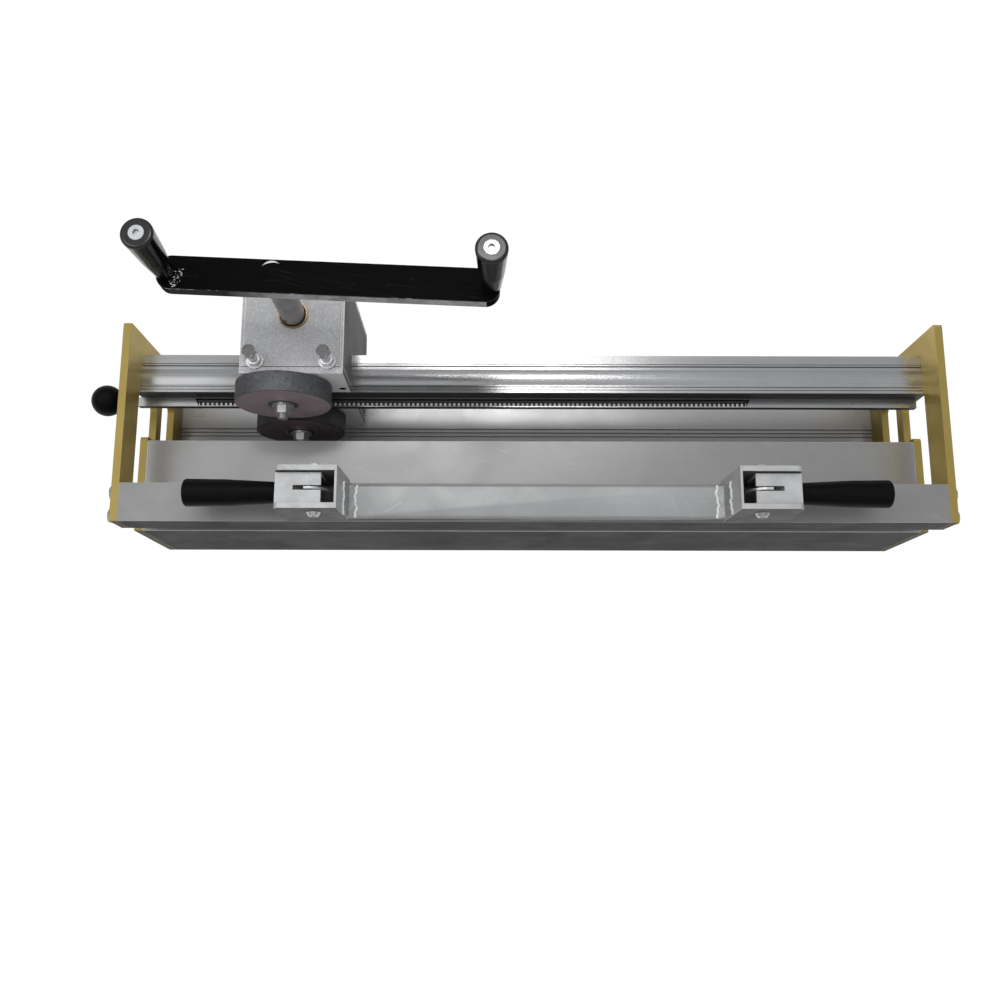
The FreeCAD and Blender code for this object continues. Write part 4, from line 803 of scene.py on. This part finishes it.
class Workshop:
    """What every sub-assembly shares: the CAD nodes, the finishes and the repeat trees."""

    def __init__(self, frame: dict[str, object]) -> None:
        """Build the finishes and the trees.
        """
        self.nodes: dict[str, bpy.types.Object] = frame["nodes"]
        shop = PatternShop()
        self.materials = {finish.name: finish.build(shop) for finish in FINISHES}
        self.repeats = Repeats()

    def paint(self, *finishes: tuple[str, Finish]) -> None:
        """Give CAD nodes that are shown as they are their finishes.

        Args:
            finishes: Each node's name and finish.
        """
        for name, finish in finishes:
            mesh = self.nodes[name].data
            mesh.materials.clear()
            mesh.materials.append(self.materials[finish.name])
            LOG.info("painted %s with %s", name, finish.name)

    def ease(self, name: str, finish: Finish, edge: Finish, width: float, patches: tuple[Patch | Spot, ...] = (),
             shape: Callable[[bmesh.types.BMesh], None] | None = None) -> None:
        """Stand a copy of a CAD node with eased edges in for it.

        Args:
            name: The node.
            finish: The finish of its faces.
            edge: The finish of the eased edges.
            width: How far the edges are eased.
            patches: Other finishes for some of its faces.
            shape: What else is done to the copy before its edges are eased.
        """
        source = self.nodes[name]
        mesh = source.data.copy()
        mesh.materials.clear()
        for one in (finish, edge, *(patch.finish for patch in patches)):
            mesh.materials.append(self.materials[one.name])
        work = bmesh.new()
        work.from_mesh(mesh)
        bmesh.ops.remove_doubles(work, verts=work.verts, dist=CAD_MERGE)
        if shape is not None:
            shape(work)
        bmesh.ops.dissolve_limit(work, angle_limit=FLAT_LIMIT, verts=work.verts, edges=work.edges)
        soften(work, CAD_SOFT)
        for face in work.faces:
            face.material_index = 0
            for number, patch in enumerate(patches, start=2):
                if patch.covers(face):
                    face.material_index = number
        work.to_mesh(mesh)
        work.free()
        piece = placed(f"{name}_eased", mesh)
        bevel = piece.modifiers.new("eased", "BEVEL")
        bevel.width, bevel.segments, bevel.material = width, EASE_SEGMENTS, 1
        bevel.limit_method, bevel.angle_limit = "ANGLE", EASE_LIMIT
        bevel.use_clamp_overlap = True
        bevel.harden_normals = True
        self.bake(piece)
        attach(piece, source["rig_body"])
        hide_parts(name)
        LOG.info("eased %s", piece.name)

    @staticmethod
    def bake(piece: bpy.types.Object) -> None:
        """Turn a piece's modifiers into its plain mesh.

        Args:
            piece: The piece.
        """
        graph = bpy.context.evaluated_depsgraph_get()
        graph.update()
        result = bpy.data.meshes.new_from_object(piece.evaluated_get(graph))
        piece.modifiers.clear()
        piece.data = result

    def grow(self, name: str, tree: bpy.types.GeometryNodeTree, carrier: bpy.types.Mesh, sizes: dict[str, object],
             finish: Finish, body: str) -> None:
        """Run a repeat tree on a carrier and set the result on a body.

        Args:
            name: The new piece.
            tree: The repeat tree.
            carrier: The points, edges or faces that the tree works on, in place.
            sizes: The tree's inputs, by name.
            finish: The finish.
            body: The CAD body that it rides on.
        """
        piece = placed(name, carrier)
        modifier = piece.modifiers.new("repeat", "NODES")
        modifier.node_group = tree
        values = {**sizes, "Finish": self.materials[finish.name]}
        for item in tree.interface.items_tree:
            if item.in_out == "INPUT" and item.name in values:
                modifier[item.identifier] = values[item.name]
        self.bake(piece)
        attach(piece, body)
        LOG.info("grew %s: %d faces", name, len(piece.data.polygons))

    def settle(self, name: str, work: bmesh.types.BMesh, finish: Finish, body: str) -> None:
        """Make a piece of a finished bmesh and set it on a body.

        Args:
            name: The new piece.
            work: Its mesh, in place.
            finish: The finish.
            body: The CAD body that it rides on.
        """
        bmesh.ops.remove_doubles(work, verts=work.verts, dist=MADE_MERGE)
        bmesh.ops.recalc_face_normals(work, faces=work.faces)
        soften(work, MADE_SOFT)
        mesh = bpy.data.meshes.new(name)
        work.to_mesh(mesh)
        work.free()
        mesh.materials.append(self.materials[finish.name])
        piece = placed(name, mesh)
        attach(piece, body)
        LOG.info("made %s", name)


def carrier_mesh(name: str, points: list[Triple], edges: list[tuple[int, int]] | None = None,
                 faces: list[tuple[int, ...]] | None = None) -> bpy.types.Mesh:
    """A carrier for a repeat tree.

    Args:
        name: The mesh's name.
        points: Its points.
        edges: Which points are joined.
        faces: Which points bound a face.

    Returns:
        The mesh.
    """
    mesh = bpy.data.meshes.new(name)
    mesh.from_pydata(points, edges or [], faces or [])
    return mesh


def spun(profile: tuple[tuple[float, float], ...], place: Matrix) -> bmesh.types.BMesh:
    """A closed shape turned about its Z axis.

    Args:
        profile: Radius and height of each corner of the closed outline.
        place: Where the shape goes.

    Returns:
        The shape, in place.
    """
    work = bmesh.new()
    turns = [2 * math.pi * step / SPIN_STEPS for step in range(SPIN_STEPS)]
    rings = [[work.verts.new((radius * math.cos(turn), radius * math.sin(turn), height)) for turn in turns]
             for radius, height in profile]
    for low, high in zip(rings, rings[1:] + rings[:1]):
        for step in range(SPIN_STEPS):
            after = (step + 1) % SPIN_STEPS
            work.faces.new((low[step], low[after], high[after], high[step]))
    bmesh.ops.transform(work, matrix=place, verts=work.verts)
    return work


def loft(rows: list[list[Triple]]) -> bmesh.types.BMesh:
    """A closed shape drawn through a row of sections.

    Args:
        rows: The corners of each section.

    Returns:
        The shape.
    """
    work = bmesh.new()
    rings = [[work.verts.new(corner) for corner in row] for row in rows]
    for near, after in zip(rings, rings[1:]):
        for left, right in zip(range(len(near)), (*range(1, len(near)), 0)):
            work.faces.new((near[left], near[right], after[right], after[left]))
    work.faces.new(rings[0])
    work.faces.new(tuple(reversed(rings[-1])))
    return work


@dataclass
class EndFrame:
    """The two gold end plates and the bolts through them."""

    shop: Workshop
    edge_ease: float = 0.0006

    def dress(self) -> None:
        """Ease the plates and paint their bolts."""
        for side, _ in SIDES:
            self.shop.ease(f"end_plate_{side}", GOLD_FACE, GOLD_EDGE, self.edge_ease,
                           (Patch(Way.UP, GOLD_EDGE), Patch(Way.BACK, GOLD_EDGE), Patch(Way.FRONT, GOLD_FRONT_SHADE)))
            self.shop.paint((f"end_plate_bolts_{side}", ZINC))


@dataclass
class Tables:
    """The front table, the lower box and the grooved base plate."""

    shop: Workshop
    edge_ease: float = 0.0008

    def dress(self) -> None:
        """Ease the long edges."""
        for name, finish in (("front_table", TABLE), ("lower_box", BOX), ("base_plate", BASE_LIT)):
            self.shop.ease(name, finish, EDGE_HIGHLIGHT, self.edge_ease, (Patch(Way.FRONT, TABLE_FRONT_SHADE),))


@dataclass
class Rail:
    """The ribbed guide beam with its rack, the comb bar with its comb, and the lacing pin."""

    shop: Workshop
    edge_ease: float = 0.0004
    tooth_ease: float = 0.0002
    recess_drop: float = 0.003
    crown_middle: float = 0.0605
    crown_half: float = 0.0085
    crown_rise: float = 0.0008
    crown_deep: float = 0.00096
    crown_steps: int = 14
    dowel_inset: float = 0.0195
    dowel_setback: float = 0.007
    dowel_radius: float = 0.0015
    dowel_sink: float = 2e-5
    dowel_steps: int = 24

    def dress(self) -> None:
        """Finish the rail, with painted shade in the recess under the comb and on the beam's front, and a painted
        highlight on the tops of the comb's teeth.
        """
        self.shop.ease("guide_beam", BEAM, BEAM, self.edge_ease, (Patch(Way.FRONT, RECESS_SHADE),), self.level_crown)
        self.round_crown()
        self.fit_dowels()
        _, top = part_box("comb_bar")
        self.shop.ease("comb_bar", BEAM, BEAM, self.edge_ease,
                       (Patch(Way.UP, RECESS_SHADE, high=top.z - self.recess_drop), Patch(Way.FRONT, RECESS_SHADE)))
        _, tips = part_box("comb")
        self.shop.ease("comb", RACK_STEEL, RACK_STEEL, self.tooth_ease,
                       (Patch(Way.UP, COMB_TOP_HIGHLIGHT, low=tips.z - self.tooth_ease),))
        self.shop.paint(("rack", RACK_STEEL), ("rack_screws", ZINC), ("lacing_pin", RACK_STEEL), ("pin_knob", PLASTIC))

    def level_crown(self, work: bmesh.types.BMesh) -> None:
        """Take the flat crown off the beam, to make room for the rounded one.

        Args:
            work: The beam's mesh.
        """
        top = max(vertex.co.z for vertex in work.verts)
        for vertex in work.verts:
            if top - vertex.co.z < HAIR and abs(vertex.co.y - self.crown_middle) < self.crown_half + HAIR:
                vertex.co.z -= self.crown_rise
        bmesh.ops.remove_doubles(work, verts=work.verts, dist=CAD_MERGE)
        bmesh.ops.dissolve_degenerate(work, dist=SLIVER, edges=work.edges)

    def fit_dowels(self) -> None:
        """Fill the two dowel holes at the beam's ends with flush dowels."""
        low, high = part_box("guide_beam")
        work = bmesh.new()
        for across in (low.x + self.dowel_inset, high.x - self.dowel_inset):
            height = high.z - self.dowel_radius - self.dowel_sink
            bmesh.ops.create_cone(work, cap_ends=True, segments=self.dowel_steps, radius1=self.dowel_radius,
                                  radius2=self.dowel_radius, depth=2 * self.dowel_radius,
                                  matrix=Matrix.Translation((across, high.y - self.dowel_setback, height)))
        self.shop.settle("beam_dowels", work, BEAM, "frame")

    def round_crown(self) -> None:
        """Lay the rounded crown along the middle of the beam."""
        low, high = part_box("guide_beam")
        shares = [2 * step / self.crown_steps - 1 for step in range(self.crown_steps + 1)]
        arch = [(share, high.z - self.crown_rise * share * share) for share in shares]
        arch += [(1.0, high.z - self.crown_deep), (-1.0, high.z - self.crown_deep)]
        rows = [[(across, self.crown_middle + self.crown_half * share, up) for share, up in arch]
                for across in (low.x, high.x)]
        self.shop.settle("beam_crown", loft(rows), BEAM, "frame")


@dataclass
class Carriage:
    """The blasted carriage box, its adjusting screws and its bushes."""

    shop: Workshop
    edge_ease: float = 0.0009
    screw_ease: float = 0.0004
    screw_inset: float = 0.0075
    screw_head: float = 0.0055
    thread_pitch: float = 0.00125
    thread_radius: float = 0.004
    thread_crest: float = 0.00035
    seam_width: float = 0.0008
    seam_sink: float = 0.00032
    seam_inset: float = 0.0018
    mark_drop: float = 0.001
    mark_off: float = 0.046
    mark_rise: float = 0.0117
    mark_deep: float = 0.0025
    mark_reach: float = 0.0043
    film: tuple[tuple[float, float], ...] = ((0.01258, -0.0002), (0.0137, -0.0002), (0.0137, 5e-5), (0.01258, 9e-5))

    def dress(self) -> None:
        """Ease the plates, paint the small parts, cut the threads and lay the seam and a ring of painted shade in the
        gap at the upper shaft bush.
        """
        front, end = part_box("carriage_front_upper")
        middle = (front.x + end.x) / 2
        # Painted shade: the two holes in the front plate, and the front faces set back behind it, are laid near black.
        hole_shades = [Spot(HOLE_SHADE, (middle + sign * self.mark_off, front.y + self.mark_deep, front.z + self.mark_rise),
                      self.mark_reach) for _, sign in SIDES]
        for part in ("side_left", "side_right", "deck", "back", "floor", "front_upper", "front_lower", "shelf"):
            self.shop.ease(f"carriage_{part}", CARRIAGE, CARRIAGE_EDGE_HIGHLIGHT, self.edge_ease,
                           (Patch(Way.RIGHT, CARRIAGE_SIDE), Patch(Way.FRONT, CARRIAGE_FRONT),
                            Patch(Way.FRONT, HOLE_SHADE, low=front.y + self.mark_drop), *hole_shades))
        # The front flats of the screws and nuts, and the nuts' tops, carry a painted highlight.
        for name, top in (("adjusting_screws", ZINC_TOP), ("adjuster_lock_nuts", BARE_AND_HIGHLIGHT)):
            self.shop.ease(name, ZINC, ZINC_EDGE, self.screw_ease, (Patch(Way.FRONT, BARE_AND_HIGHLIGHT), Patch(Way.UP, top)))
        self.shop.paint(("slide_pad_top", NYLON), ("slide_pad_bottom", NYLON), ("shaft_bush_upper", BRONZE),
                        ("shaft_bush_lower", BRONZE))
        self.cut_threads()
        self.draw_seam()
        low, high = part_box("shaft_bush_upper")
        place = Matrix.Translation(((low.x + high.x) / 2, (low.y + high.y) / 2, high.z))
        # A thin ring of painted shade in the gap between the shaft and the upper bush.
        self.shop.settle("bush_gap_painted_shade", spun(self.film, place), HOLE_SHADE, "carriage")

    def draw_seam(self) -> None:
        """Lay the dark seam between the deck and the front plate."""
        low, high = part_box("carriage_front_upper")
        work = bmesh.new()
        bmesh.ops.create_cube(work, size=1.0)
        size = (high.x - low.x - 2 * self.seam_inset, self.seam_width, self.seam_width)
        place = Matrix.Translation(((low.x + high.x) / 2, high.y, high.z - self.seam_sink))
        bmesh.ops.transform(work, matrix=place @ Matrix.Diagonal((*size, 1.0)), verts=work.verts)
        self.shop.settle("carriage_seam", work, SEAM, "carriage")

    def cut_threads(self) -> None:
        """Set thread crests on the bare stretch of both adjusting screws."""
        low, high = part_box("adjusting_screws")
        _, nut_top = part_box("adjuster_lock_nuts")
        reach = high.z - self.screw_head - nut_top.z
        spots = [(across, (low.y + high.y) / 2, nut_top.z + self.thread_pitch)
                 for across in (low.x + self.screw_inset, high.x - self.screw_inset)]
        sizes = {"Count": int(reach / self.thread_pitch) - 1, "Pitch": self.thread_pitch,
                 "Radius": self.thread_radius, "Crest": self.thread_crest}
        self.shop.grow("adjuster_threads", self.shop.repeats.thread, carrier_mesh("adjuster_spots", spots), sizes, BARE_AND_HIGHLIGHT,
                       "carriage")


@dataclass
class Rollers:
    """The two pinch rollers with their bearings, axles and nuts."""

    shop: Workshop
    edge_ease: float = 0.0003
    finishes: tuple[tuple[str, Finish, Finish], ...] = (("upper", UPPER_RIM, UPPER_FACE),
                                                        ("lower", LOWER_RIM_SHADE, LOWER_FACE_SHADE))
    shield: tuple[tuple[float, float], ...] = ((0.0125, -0.0004), (0.0160, -0.0004), (0.0160, 0.0002),
                                               (0.0154, 0.0005), (0.0131, 0.0005), (0.0125, 0.0002))

    def dress(self) -> None:
        """Finish each roller."""
        for side, rim, face in self.finishes:
            self.shop.ease(f"{side}_roller", rim, rim, self.edge_ease, (Patch(Way.FRONT, face), Patch(Way.BACK, face)))
            self.shop.paint((f"{side}_roller_bearing", GROUND), (f"{side}_axle", GROUND))
            # The axle nuts' tops carry a painted highlight.
            self.shop.ease(f"{side}_axle_nut", ZINC, ZINC_EDGE, self.edge_ease, (Patch(Way.UP, BARE_AND_HIGHLIGHT),))
            self.add_shield(side, rim)

    def add_shield(self, side: str, rim: Finish) -> None:
        """Set a pressed shield ring on the front of a bearing.

        Args:
            side: Which roller.
            rim: The shield's finish.
        """
        low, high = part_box(f"{side}_roller_bearing")
        place = Matrix.Translation(((low.x + high.x) / 2, low.y, (low.z + high.z) / 2)) @ TO_FRONT
        self.shop.settle(f"{side}_bearing_shield", spun(self.shield, place), rim, f"{side}_roller")


@dataclass
class Crank:
    """The shaft, its pinion, the black crank bar and the two grips."""

    shop: Workshop
    edge_ease: float = 0.0012
    shaft_ease: float = 0.0004
    hole_middle: Triple = (-0.2533, 0.1005, 0.2415)
    hole_reach: float = 0.004
    paint_skin: tuple[tuple[float, float], ...] = ((0.00014, -0.00012), (0.014, -0.00012), (0.014, 0.000024),
                                                   (0.01344, 0.00012), (0.00014, 0.00012))
    rim_inner: float = 0.0110
    rim_outer: float = 0.0130
    rim_rise: float = 0.0003
    rim_start: float = math.radians(50)
    rim_end: float = math.radians(142)
    rim_steps: int = 24
    rim_shift: Triple = (-0.0028, 0.0028, 0.0)
    speck_inner: float = 0.0098
    speck_outer: float = 0.0185
    speck_sweep: float = 0.42
    speck_back: float = 0.36
    speck_steps: int = 24
    speck_density: float = 330000.0
    speck_size: float = 0.0005
    speck_seed: int = 4

    def dress(self) -> None:
        """Finish the crank, with paint over the shaft's end, bare metal where it has worn, and a painted highlight on
        the shaft's rim.
        """
        self.shop.ease("crank_bar", BLACK, WORN_EDGE, self.edge_ease, (Patch(Way.FRONT, WORN_FRONT),))
        # Painted shade: the cross hole in the shaft is laid near black.
        self.shop.ease("crank_shaft", GROUND, GROUND, self.shaft_ease, (Spot(HOLE_SHADE, self.hole_middle, self.hole_reach),))
        self.shop.paint(("pinion", GROUND), ("grip_spindle_left", ZINC), ("grip_spindle_right", ZINC),
                        ("crank_grip_left", GRIP), ("crank_grip_right", GRIP))
        self.paint_end()
        self.wear_rim()
        self.strew_specks()

    def paint_end(self) -> None:
        """Lay a skin of paint over the shaft's end and the seam round it."""
        low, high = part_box("crank_shaft")
        middle = (low + high) / 2
        place = Matrix.Translation((middle.x, middle.y, high.z))
        self.shop.settle("shaft_end_paint", spun(self.paint_skin, place), BLACK, "crank")

    def wear_rim(self) -> None:
        """Lay a thin bright crescent on the far rim of the shaft's end: worn bare metal, made brighter as a painted
        highlight.
        """
        low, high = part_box("crank_shaft")
        middle = (low + high) / 2 + Vector(self.rim_shift)
        centre = (self.rim_outer + self.rim_inner) / 2
        rows = []
        for step in range(self.rim_steps + 1):
            share = step / self.rim_steps
            angle = self.rim_start + (self.rim_end - self.rim_start) * share
            half = (self.rim_outer - self.rim_inner) / 2 * math.sin(math.pi * share) + HAIR
            rows.append([(middle.x + reach * math.cos(angle), middle.y + reach * math.sin(angle), high.z + rise)
                         for reach, rise in ((centre - half, 0.0), (centre, self.rim_rise), (centre + half, 0.0))])
        self.shop.settle("shaft_rim_wear_and_highlight", loft(rows), BARE_AND_HIGHLIGHT, "crank")

    def strew_specks(self) -> None:
        """Strew specks of bare metal on the inner side of the left grip's foot."""
        low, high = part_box("grip_spindle_left")
        _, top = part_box("crank_bar")
        middle = (low + high) / 2
        steps = self.speck_steps
        turns = [math.pi * (self.speck_sweep * step / steps - self.speck_back) for step in range(steps + 1)]
        points = [(middle.x + reach * math.cos(turn), middle.y + reach * math.sin(turn), top.z)
                  for reach in (self.speck_inner, self.speck_outer) for turn in turns]
        row = len(turns)
        faces = [(step, step + 1, row + step + 1, row + step) for step in range(steps)]
        sizes = {"Density": self.speck_density, "Size": self.speck_size, "Seed": self.speck_seed}
        self.shop.grow("grip_foot_specks", self.shop.repeats.specks, carrier_mesh("speck_ring", points, faces=faces),
                       sizes, BARE_AND_HIGHLIGHT, "crank")


@dataclass(frozen=True)
class Ripple:
    """The waves along a weld's rim: a slow one, and a finer and lower one."""

    height: float
    slow: float
    fine: float
    fine_share: float
    fine_start: float = 0.0

    def at(self, share: float, start: float) -> float:
        """How far the rim is off its line.

        Args:
            share: The place, as a share of the weld's length.
            start: Where the slow wave starts.

        Returns:
            The distance.
        """
        fine = self.fine_share * math.sin(self.fine * share + self.fine_start)
        return self.height * (math.sin(self.slow * share + start) + fine)


@dataclass
class BeltClamp:
    """The welded clamp bar with its brackets, levers and anchors."""

    shop: Workshop
    edge_ease: float = 0.0006
    pivot_ease: float = 0.0003
    weld_margin: float = 0.0012
    weld_climb: float = 0.019
    weld_reach: float = 0.0085
    weld_lean: float = 0.07
    weld_steps: int = 40
    weld_sink: float = 2e-4
    weld_swell: float = 8e-4
    weld_throat: tuple[float, float] = (0.0022, 0.0026)
    weld_toe: tuple[float, float] = (0.6, 9e-4)
    weld_root: tuple[float, float] = (-0.0015, -0.001)
    climb_ripple: Ripple = Ripple(0.0016, 11, 27, 0.5)
    reach_ripple: Ripple = Ripple(0.0008, 9, 25, 0.6, 1)
    rim_drop: float = 0.0012
    rim_step: float = 0.0009
    rim_seed: int = 5
    upper_flat: float = 1.0
    upper_inset: float = 5e-4
    lower_flat: float = 0.6
    lower_rise: float = 1e-4
    bar_round: float = 0.0028
    bar_steps: int = 4
    bar_least: float = 0.028
    scratch: tuple[tuple[float, float], ...] = ((-0.152, -0.1020), (-0.143, -0.0965), (-0.132, -0.0900))
    scratch_width: float = 0.0006
    scratch_burr: tuple[tuple[float, float], ...] = ((-0.5, -0.1), (0.0, 0.2), (0.5, -0.1))

    def dress(self) -> None:
        """Finish the clamp, lay its welds and score its bar."""
        self.shop.ease("clamp_bar", CLAMP, EDGE_HIGHLIGHT, self.edge_ease, (Patch(Way.FRONT, CLAMP_FRONT_SHADE),), self.round_bar)
        for side, sign in SIDES:
            for name in (f"clamp_bracket_{side}", f"lever_head_{side}"):
                self.shop.ease(name, CLAMP_HEAD, CLAMP_HEAD, self.edge_ease, (Patch(Way.FRONT, CLAMP_FRONT_SHADE),))
            self.shop.ease(f"clamp_anchor_{side}", ZINC, ZINC, self.edge_ease)
            self.shop.ease(f"clamp_pivot_{side}", ZINC, ZINC_EDGE, self.pivot_ease)
            self.shop.paint((f"lever_grip_{side}", PLASTIC))
            self.lay_weld(side, sign)
        self.score_bar()

    def weld_section(self, climb: float, reach: float) -> tuple[tuple[float, float], ...]:
        """One section of a weld.

        Args:
            climb: How far it climbs the bracket.
            reach: How far it reaches over the bar.

        Returns:
            How far inward and how high each corner is, from the top of the bracket to the root.
        """
        toe_share, toe_rise = self.weld_toe
        return ((-self.weld_lean * climb - self.weld_sink, climb),
                (self.weld_swell - 0.5 * self.weld_lean * climb, 0.5 * climb),
                self.weld_throat, (toe_share * reach, toe_rise), (reach, -self.weld_sink), self.weld_root)

    def lay_weld(self, side: str, sign: int) -> None:
        """Lay the weld in the corner between the clamp bar and its bracket, with a rippled rim on both sides.

        Args:
            side: Which end.
            sign: -1 on the left and 1 on the right.
        """
        low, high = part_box("clamp_bar")
        end = low.x if sign < 0 else high.x
        rows, upper, lower = [], [], []
        for step in range(self.weld_steps + 1):
            share = step / self.weld_steps
            along = low.y + self.weld_margin + (high.y - low.y - 2 * self.weld_margin) * share
            climb = self.weld_climb + self.climb_ripple.at(share, sign)
            reach = self.weld_reach + self.reach_ripple.at(share, sign)
            section = self.weld_section(climb, reach)
            rows.append([(end - sign * inward, along, high.z + up) for inward, up in section])
            upper.append((end - sign * (section[0][0] + self.upper_inset), along, high.z + climb))
            lower.append((end - sign * reach, along, high.z + self.lower_rise))
        self.shop.settle(f"clamp_weld_{side}", loft(rows), WELD, "clamp")
        edges = [(step, step + 1) for step in range(self.weld_steps)]
        for name, path, flat in (("upper", upper, self.upper_flat), ("lower", lower, self.lower_flat)):
            sizes = {"Drop": self.rim_drop, "Step": self.rim_step, "Flat": flat, "Seed": self.rim_seed + sign}
            self.shop.grow(f"clamp_weld_{side}_{name}_rim", self.shop.repeats.bead,
                           carrier_mesh("weld_path", path, edges), sizes, RIM_HIGHLIGHT_AND_SCRATCH, "clamp")

    def round_bar(self, work: bmesh.types.BMesh) -> None:
        """Round the four long outer corners of the clamp bar, as on a drawn tube.

        Args:
            work: The bar's mesh.
        """
        low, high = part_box("clamp_bar")
        corners = [edge for edge in work.edges if edge.calc_length() > self.bar_least and all(
            min(abs(vertex.co.y - low.y), abs(vertex.co.y - high.y)) < HAIR
            and min(abs(vertex.co.z - low.z), abs(vertex.co.z - high.z)) < HAIR for vertex in edge.verts)]
        bmesh.ops.bevel(work, geom=corners, offset=self.bar_round, segments=self.bar_steps, profile=0.5,
                        affect="EDGES")

    def score_bar(self) -> None:
        """Raise the burr of one slanting scratch near the left end of the clamp bar."""
        _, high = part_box("clamp_bar")
        width = self.scratch_width
        rows = [[(across, along + shift * width, high.z + lift * width) for shift, lift in self.scratch_burr]
                for across, along in self.scratch]
        self.shop.settle("clamp_bar_scratch", loft(rows), RIM_HIGHLIGHT_AND_SCRATCH, "clamp")


@dataclass(frozen=True)
class Lamp:
    """One soft lamp above the bench."""

    name: str
    place: Triple
    target: Triple
    power: float
    size: tuple[float, float]
    diffuse: bool
    glossy: bool

    def hang(self) -> None:
        """Hang the lamp and turn it to its target."""
        data = bpy.data.lights.new(self.name, "AREA")
        data.energy, data.shape, (data.size, data.size_y) = self.power, "RECTANGLE", self.size
        lamp = placed(self.name, data)
        lamp.location = self.place
        lamp.rotation_euler = (Vector(self.target) - Vector(self.place)).to_track_quat("-Z", "Y").to_euler()
        lamp.visible_diffuse, lamp.visible_glossy = self.diffuse, self.glossy


@dataclass
class Studio:
    """The floor, the light and the photograph's camera.

    The back lamp shows in reflections alone, and the right one in none.
    """

    eye: Triple = (-0.0425, -0.305, 1.266)
    tilt: float = math.radians(11.8)
    roll: float = math.radians(0.13)
    lens: float = 38.34
    sensor: float = 36.0
    shift: float = 0.008
    clip: tuple[float, float] = (0.05, 50.0)
    floor_half: float = 6.0
    floor_drop: float = 0.0004
    floor_colour: Colour = (0.14, 0.14, 0.14)
    floor_rough: float = 0.9
    floor_glow: float = 1.18
    floor_share: float = 0.86
    sky_colour: Colour = (0.96, 0.98, 1.0)
    sky_low: float = 0.12
    sky_high: float = 1.05
    lamps: tuple[Lamp, ...] = (
        Lamp("lamp_back", (-0.12, 0.62, 1.82), (-0.04, 0.05, 0.15), 6.0, (0.75, 0.18), False, True),
        Lamp("lamp_left", (-1.1, 0.1, 1.5), (-0.1, 0.0, 0.15), 4.0, (0.8, 0.8), True, True),
        Lamp("lamp_right", (0.5, 0.3, 1.9), (0.1, 0.0, 0.15), 2.0, (0.8, 0.8), True, False))

    def build(self) -> None:
        """Set the stage."""
        self.make_floor()
        self.make_world()
        for lamp in self.lamps:
            lamp.hang()
        self.make_camera()
        bpy.context.scene.view_settings.view_transform = "Standard"

    def make_camera(self) -> None:
        """Place the camera where the photograph was taken from."""
        data = bpy.data.cameras.new("photo_camera")
        data.sensor_width, data.lens, data.shift_x = self.sensor, self.lens, self.shift
        data.clip_start, data.clip_end = self.clip
        ahead = Vector((0.0, math.sin(self.tilt), -math.cos(self.tilt)))
        level_up = Vector((0.0, math.cos(self.tilt), math.sin(self.tilt)))
        level_right = Vector((1.0, 0.0, 0.0))
        right = level_right * math.cos(self.roll) + level_up * math.sin(self.roll)
        up = level_up * math.cos(self.roll) - level_right * math.sin(self.roll)
        camera = placed("photo_camera", data)
        camera.matrix_world = Matrix.Translation(self.eye) @ Matrix((right, up, -ahead)).transposed().to_4x4()
        bpy.context.scene.camera = camera

    def make_floor(self) -> None:
        """Lay a plain pale floor that keeps the shadow."""
        work = bmesh.new()
        bmesh.ops.create_grid(work, x_segments=2, y_segments=2, size=self.floor_half)
        mesh = bpy.data.meshes.new("floor")
        work.to_mesh(mesh)
        work.free()
        floor = placed("floor", mesh)
        floor.location.z = -self.floor_drop
        material = bpy.data.materials.new("pale_floor")
        material.use_nodes = True
        shader = ShaderBuilder(material.node_tree)
        surface = material.node_tree.nodes["Principled BSDF"]
        surface.inputs["Base Color"].default_value = rgba(self.floor_colour)
        surface.inputs["Roughness"].default_value = self.floor_rough
        glow = shader.node("Emission", {"Strength": self.floor_glow})
        share = shader.math("MULTIPLY", self.seen(shader), self.floor_share)
        mix = shader.node("MixShader", {"0": share, "1": surface.outputs[0], "2": glow.outputs[0]})
        shader.feed(material.node_tree.nodes["Material Output"].inputs["Surface"], mix.outputs[0])
        mesh.materials.append(material)

    @staticmethod
    def seen(shader: ShaderBuilder) -> bpy.types.NodeSocket:
        """One where the camera, a reflection or a refraction looks, and zero for the light itself.

        Args:
            shader: The nodes of the material.

        Returns:
            The value.
        """
        path = shader.node("LightPath").outputs
        either = shader.math("MAXIMUM", path["Is Camera Ray"], path["Is Glossy Ray"])
        return shader.math("MAXIMUM", either, path["Is Transmission Ray"])

    def make_world(self) -> None:
        """Light the scene from above, darker towards the sides, with a pale background for the camera."""
        world = bpy.data.worlds.new("studio")
        bpy.context.scene.world = world
        world.use_nodes = True
        shader = ShaderBuilder(world.node_tree)
        soft = world.node_tree.nodes["Background"]
        soft.inputs["Color"].default_value = rgba(self.sky_colour)
        height = shader.node("SeparateXYZ", {"0": shader.node("TexCoord").outputs["Generated"]})
        shader.feed(soft.inputs["Strength"], shader.ramp(height.outputs["Z"], 0.0, 1.0, self.sky_low, self.sky_high))
        pale = shader.node("Background", {"Strength": 1.0})
        path = shader.node("LightPath")
        mix = shader.node("MixShader", {"0": path.outputs["Is Camera Ray"], "1": soft.outputs[0], "2": pale.outputs[0]})
        shader.feed(world.node_tree.nodes["World Output"].inputs["Surface"], mix.outputs[0])


def main() -> None:
    """Build every sub-assembly in order."""
    logging.basicConfig(level=logging.INFO, format="%(name)s %(message)s")
    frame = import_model()
    Studio().build()
    shop = Workshop(frame)
    for assembly in (EndFrame(shop), Tables(shop), Rail(shop), Carriage(shop), Rollers(shop), Crank(shop),
                     BeltClamp(shop)):
        assembly.dress()
        LOG.info("%s is dressed", type(assembly).__name__)


if __name__ == "__main__":
    main()
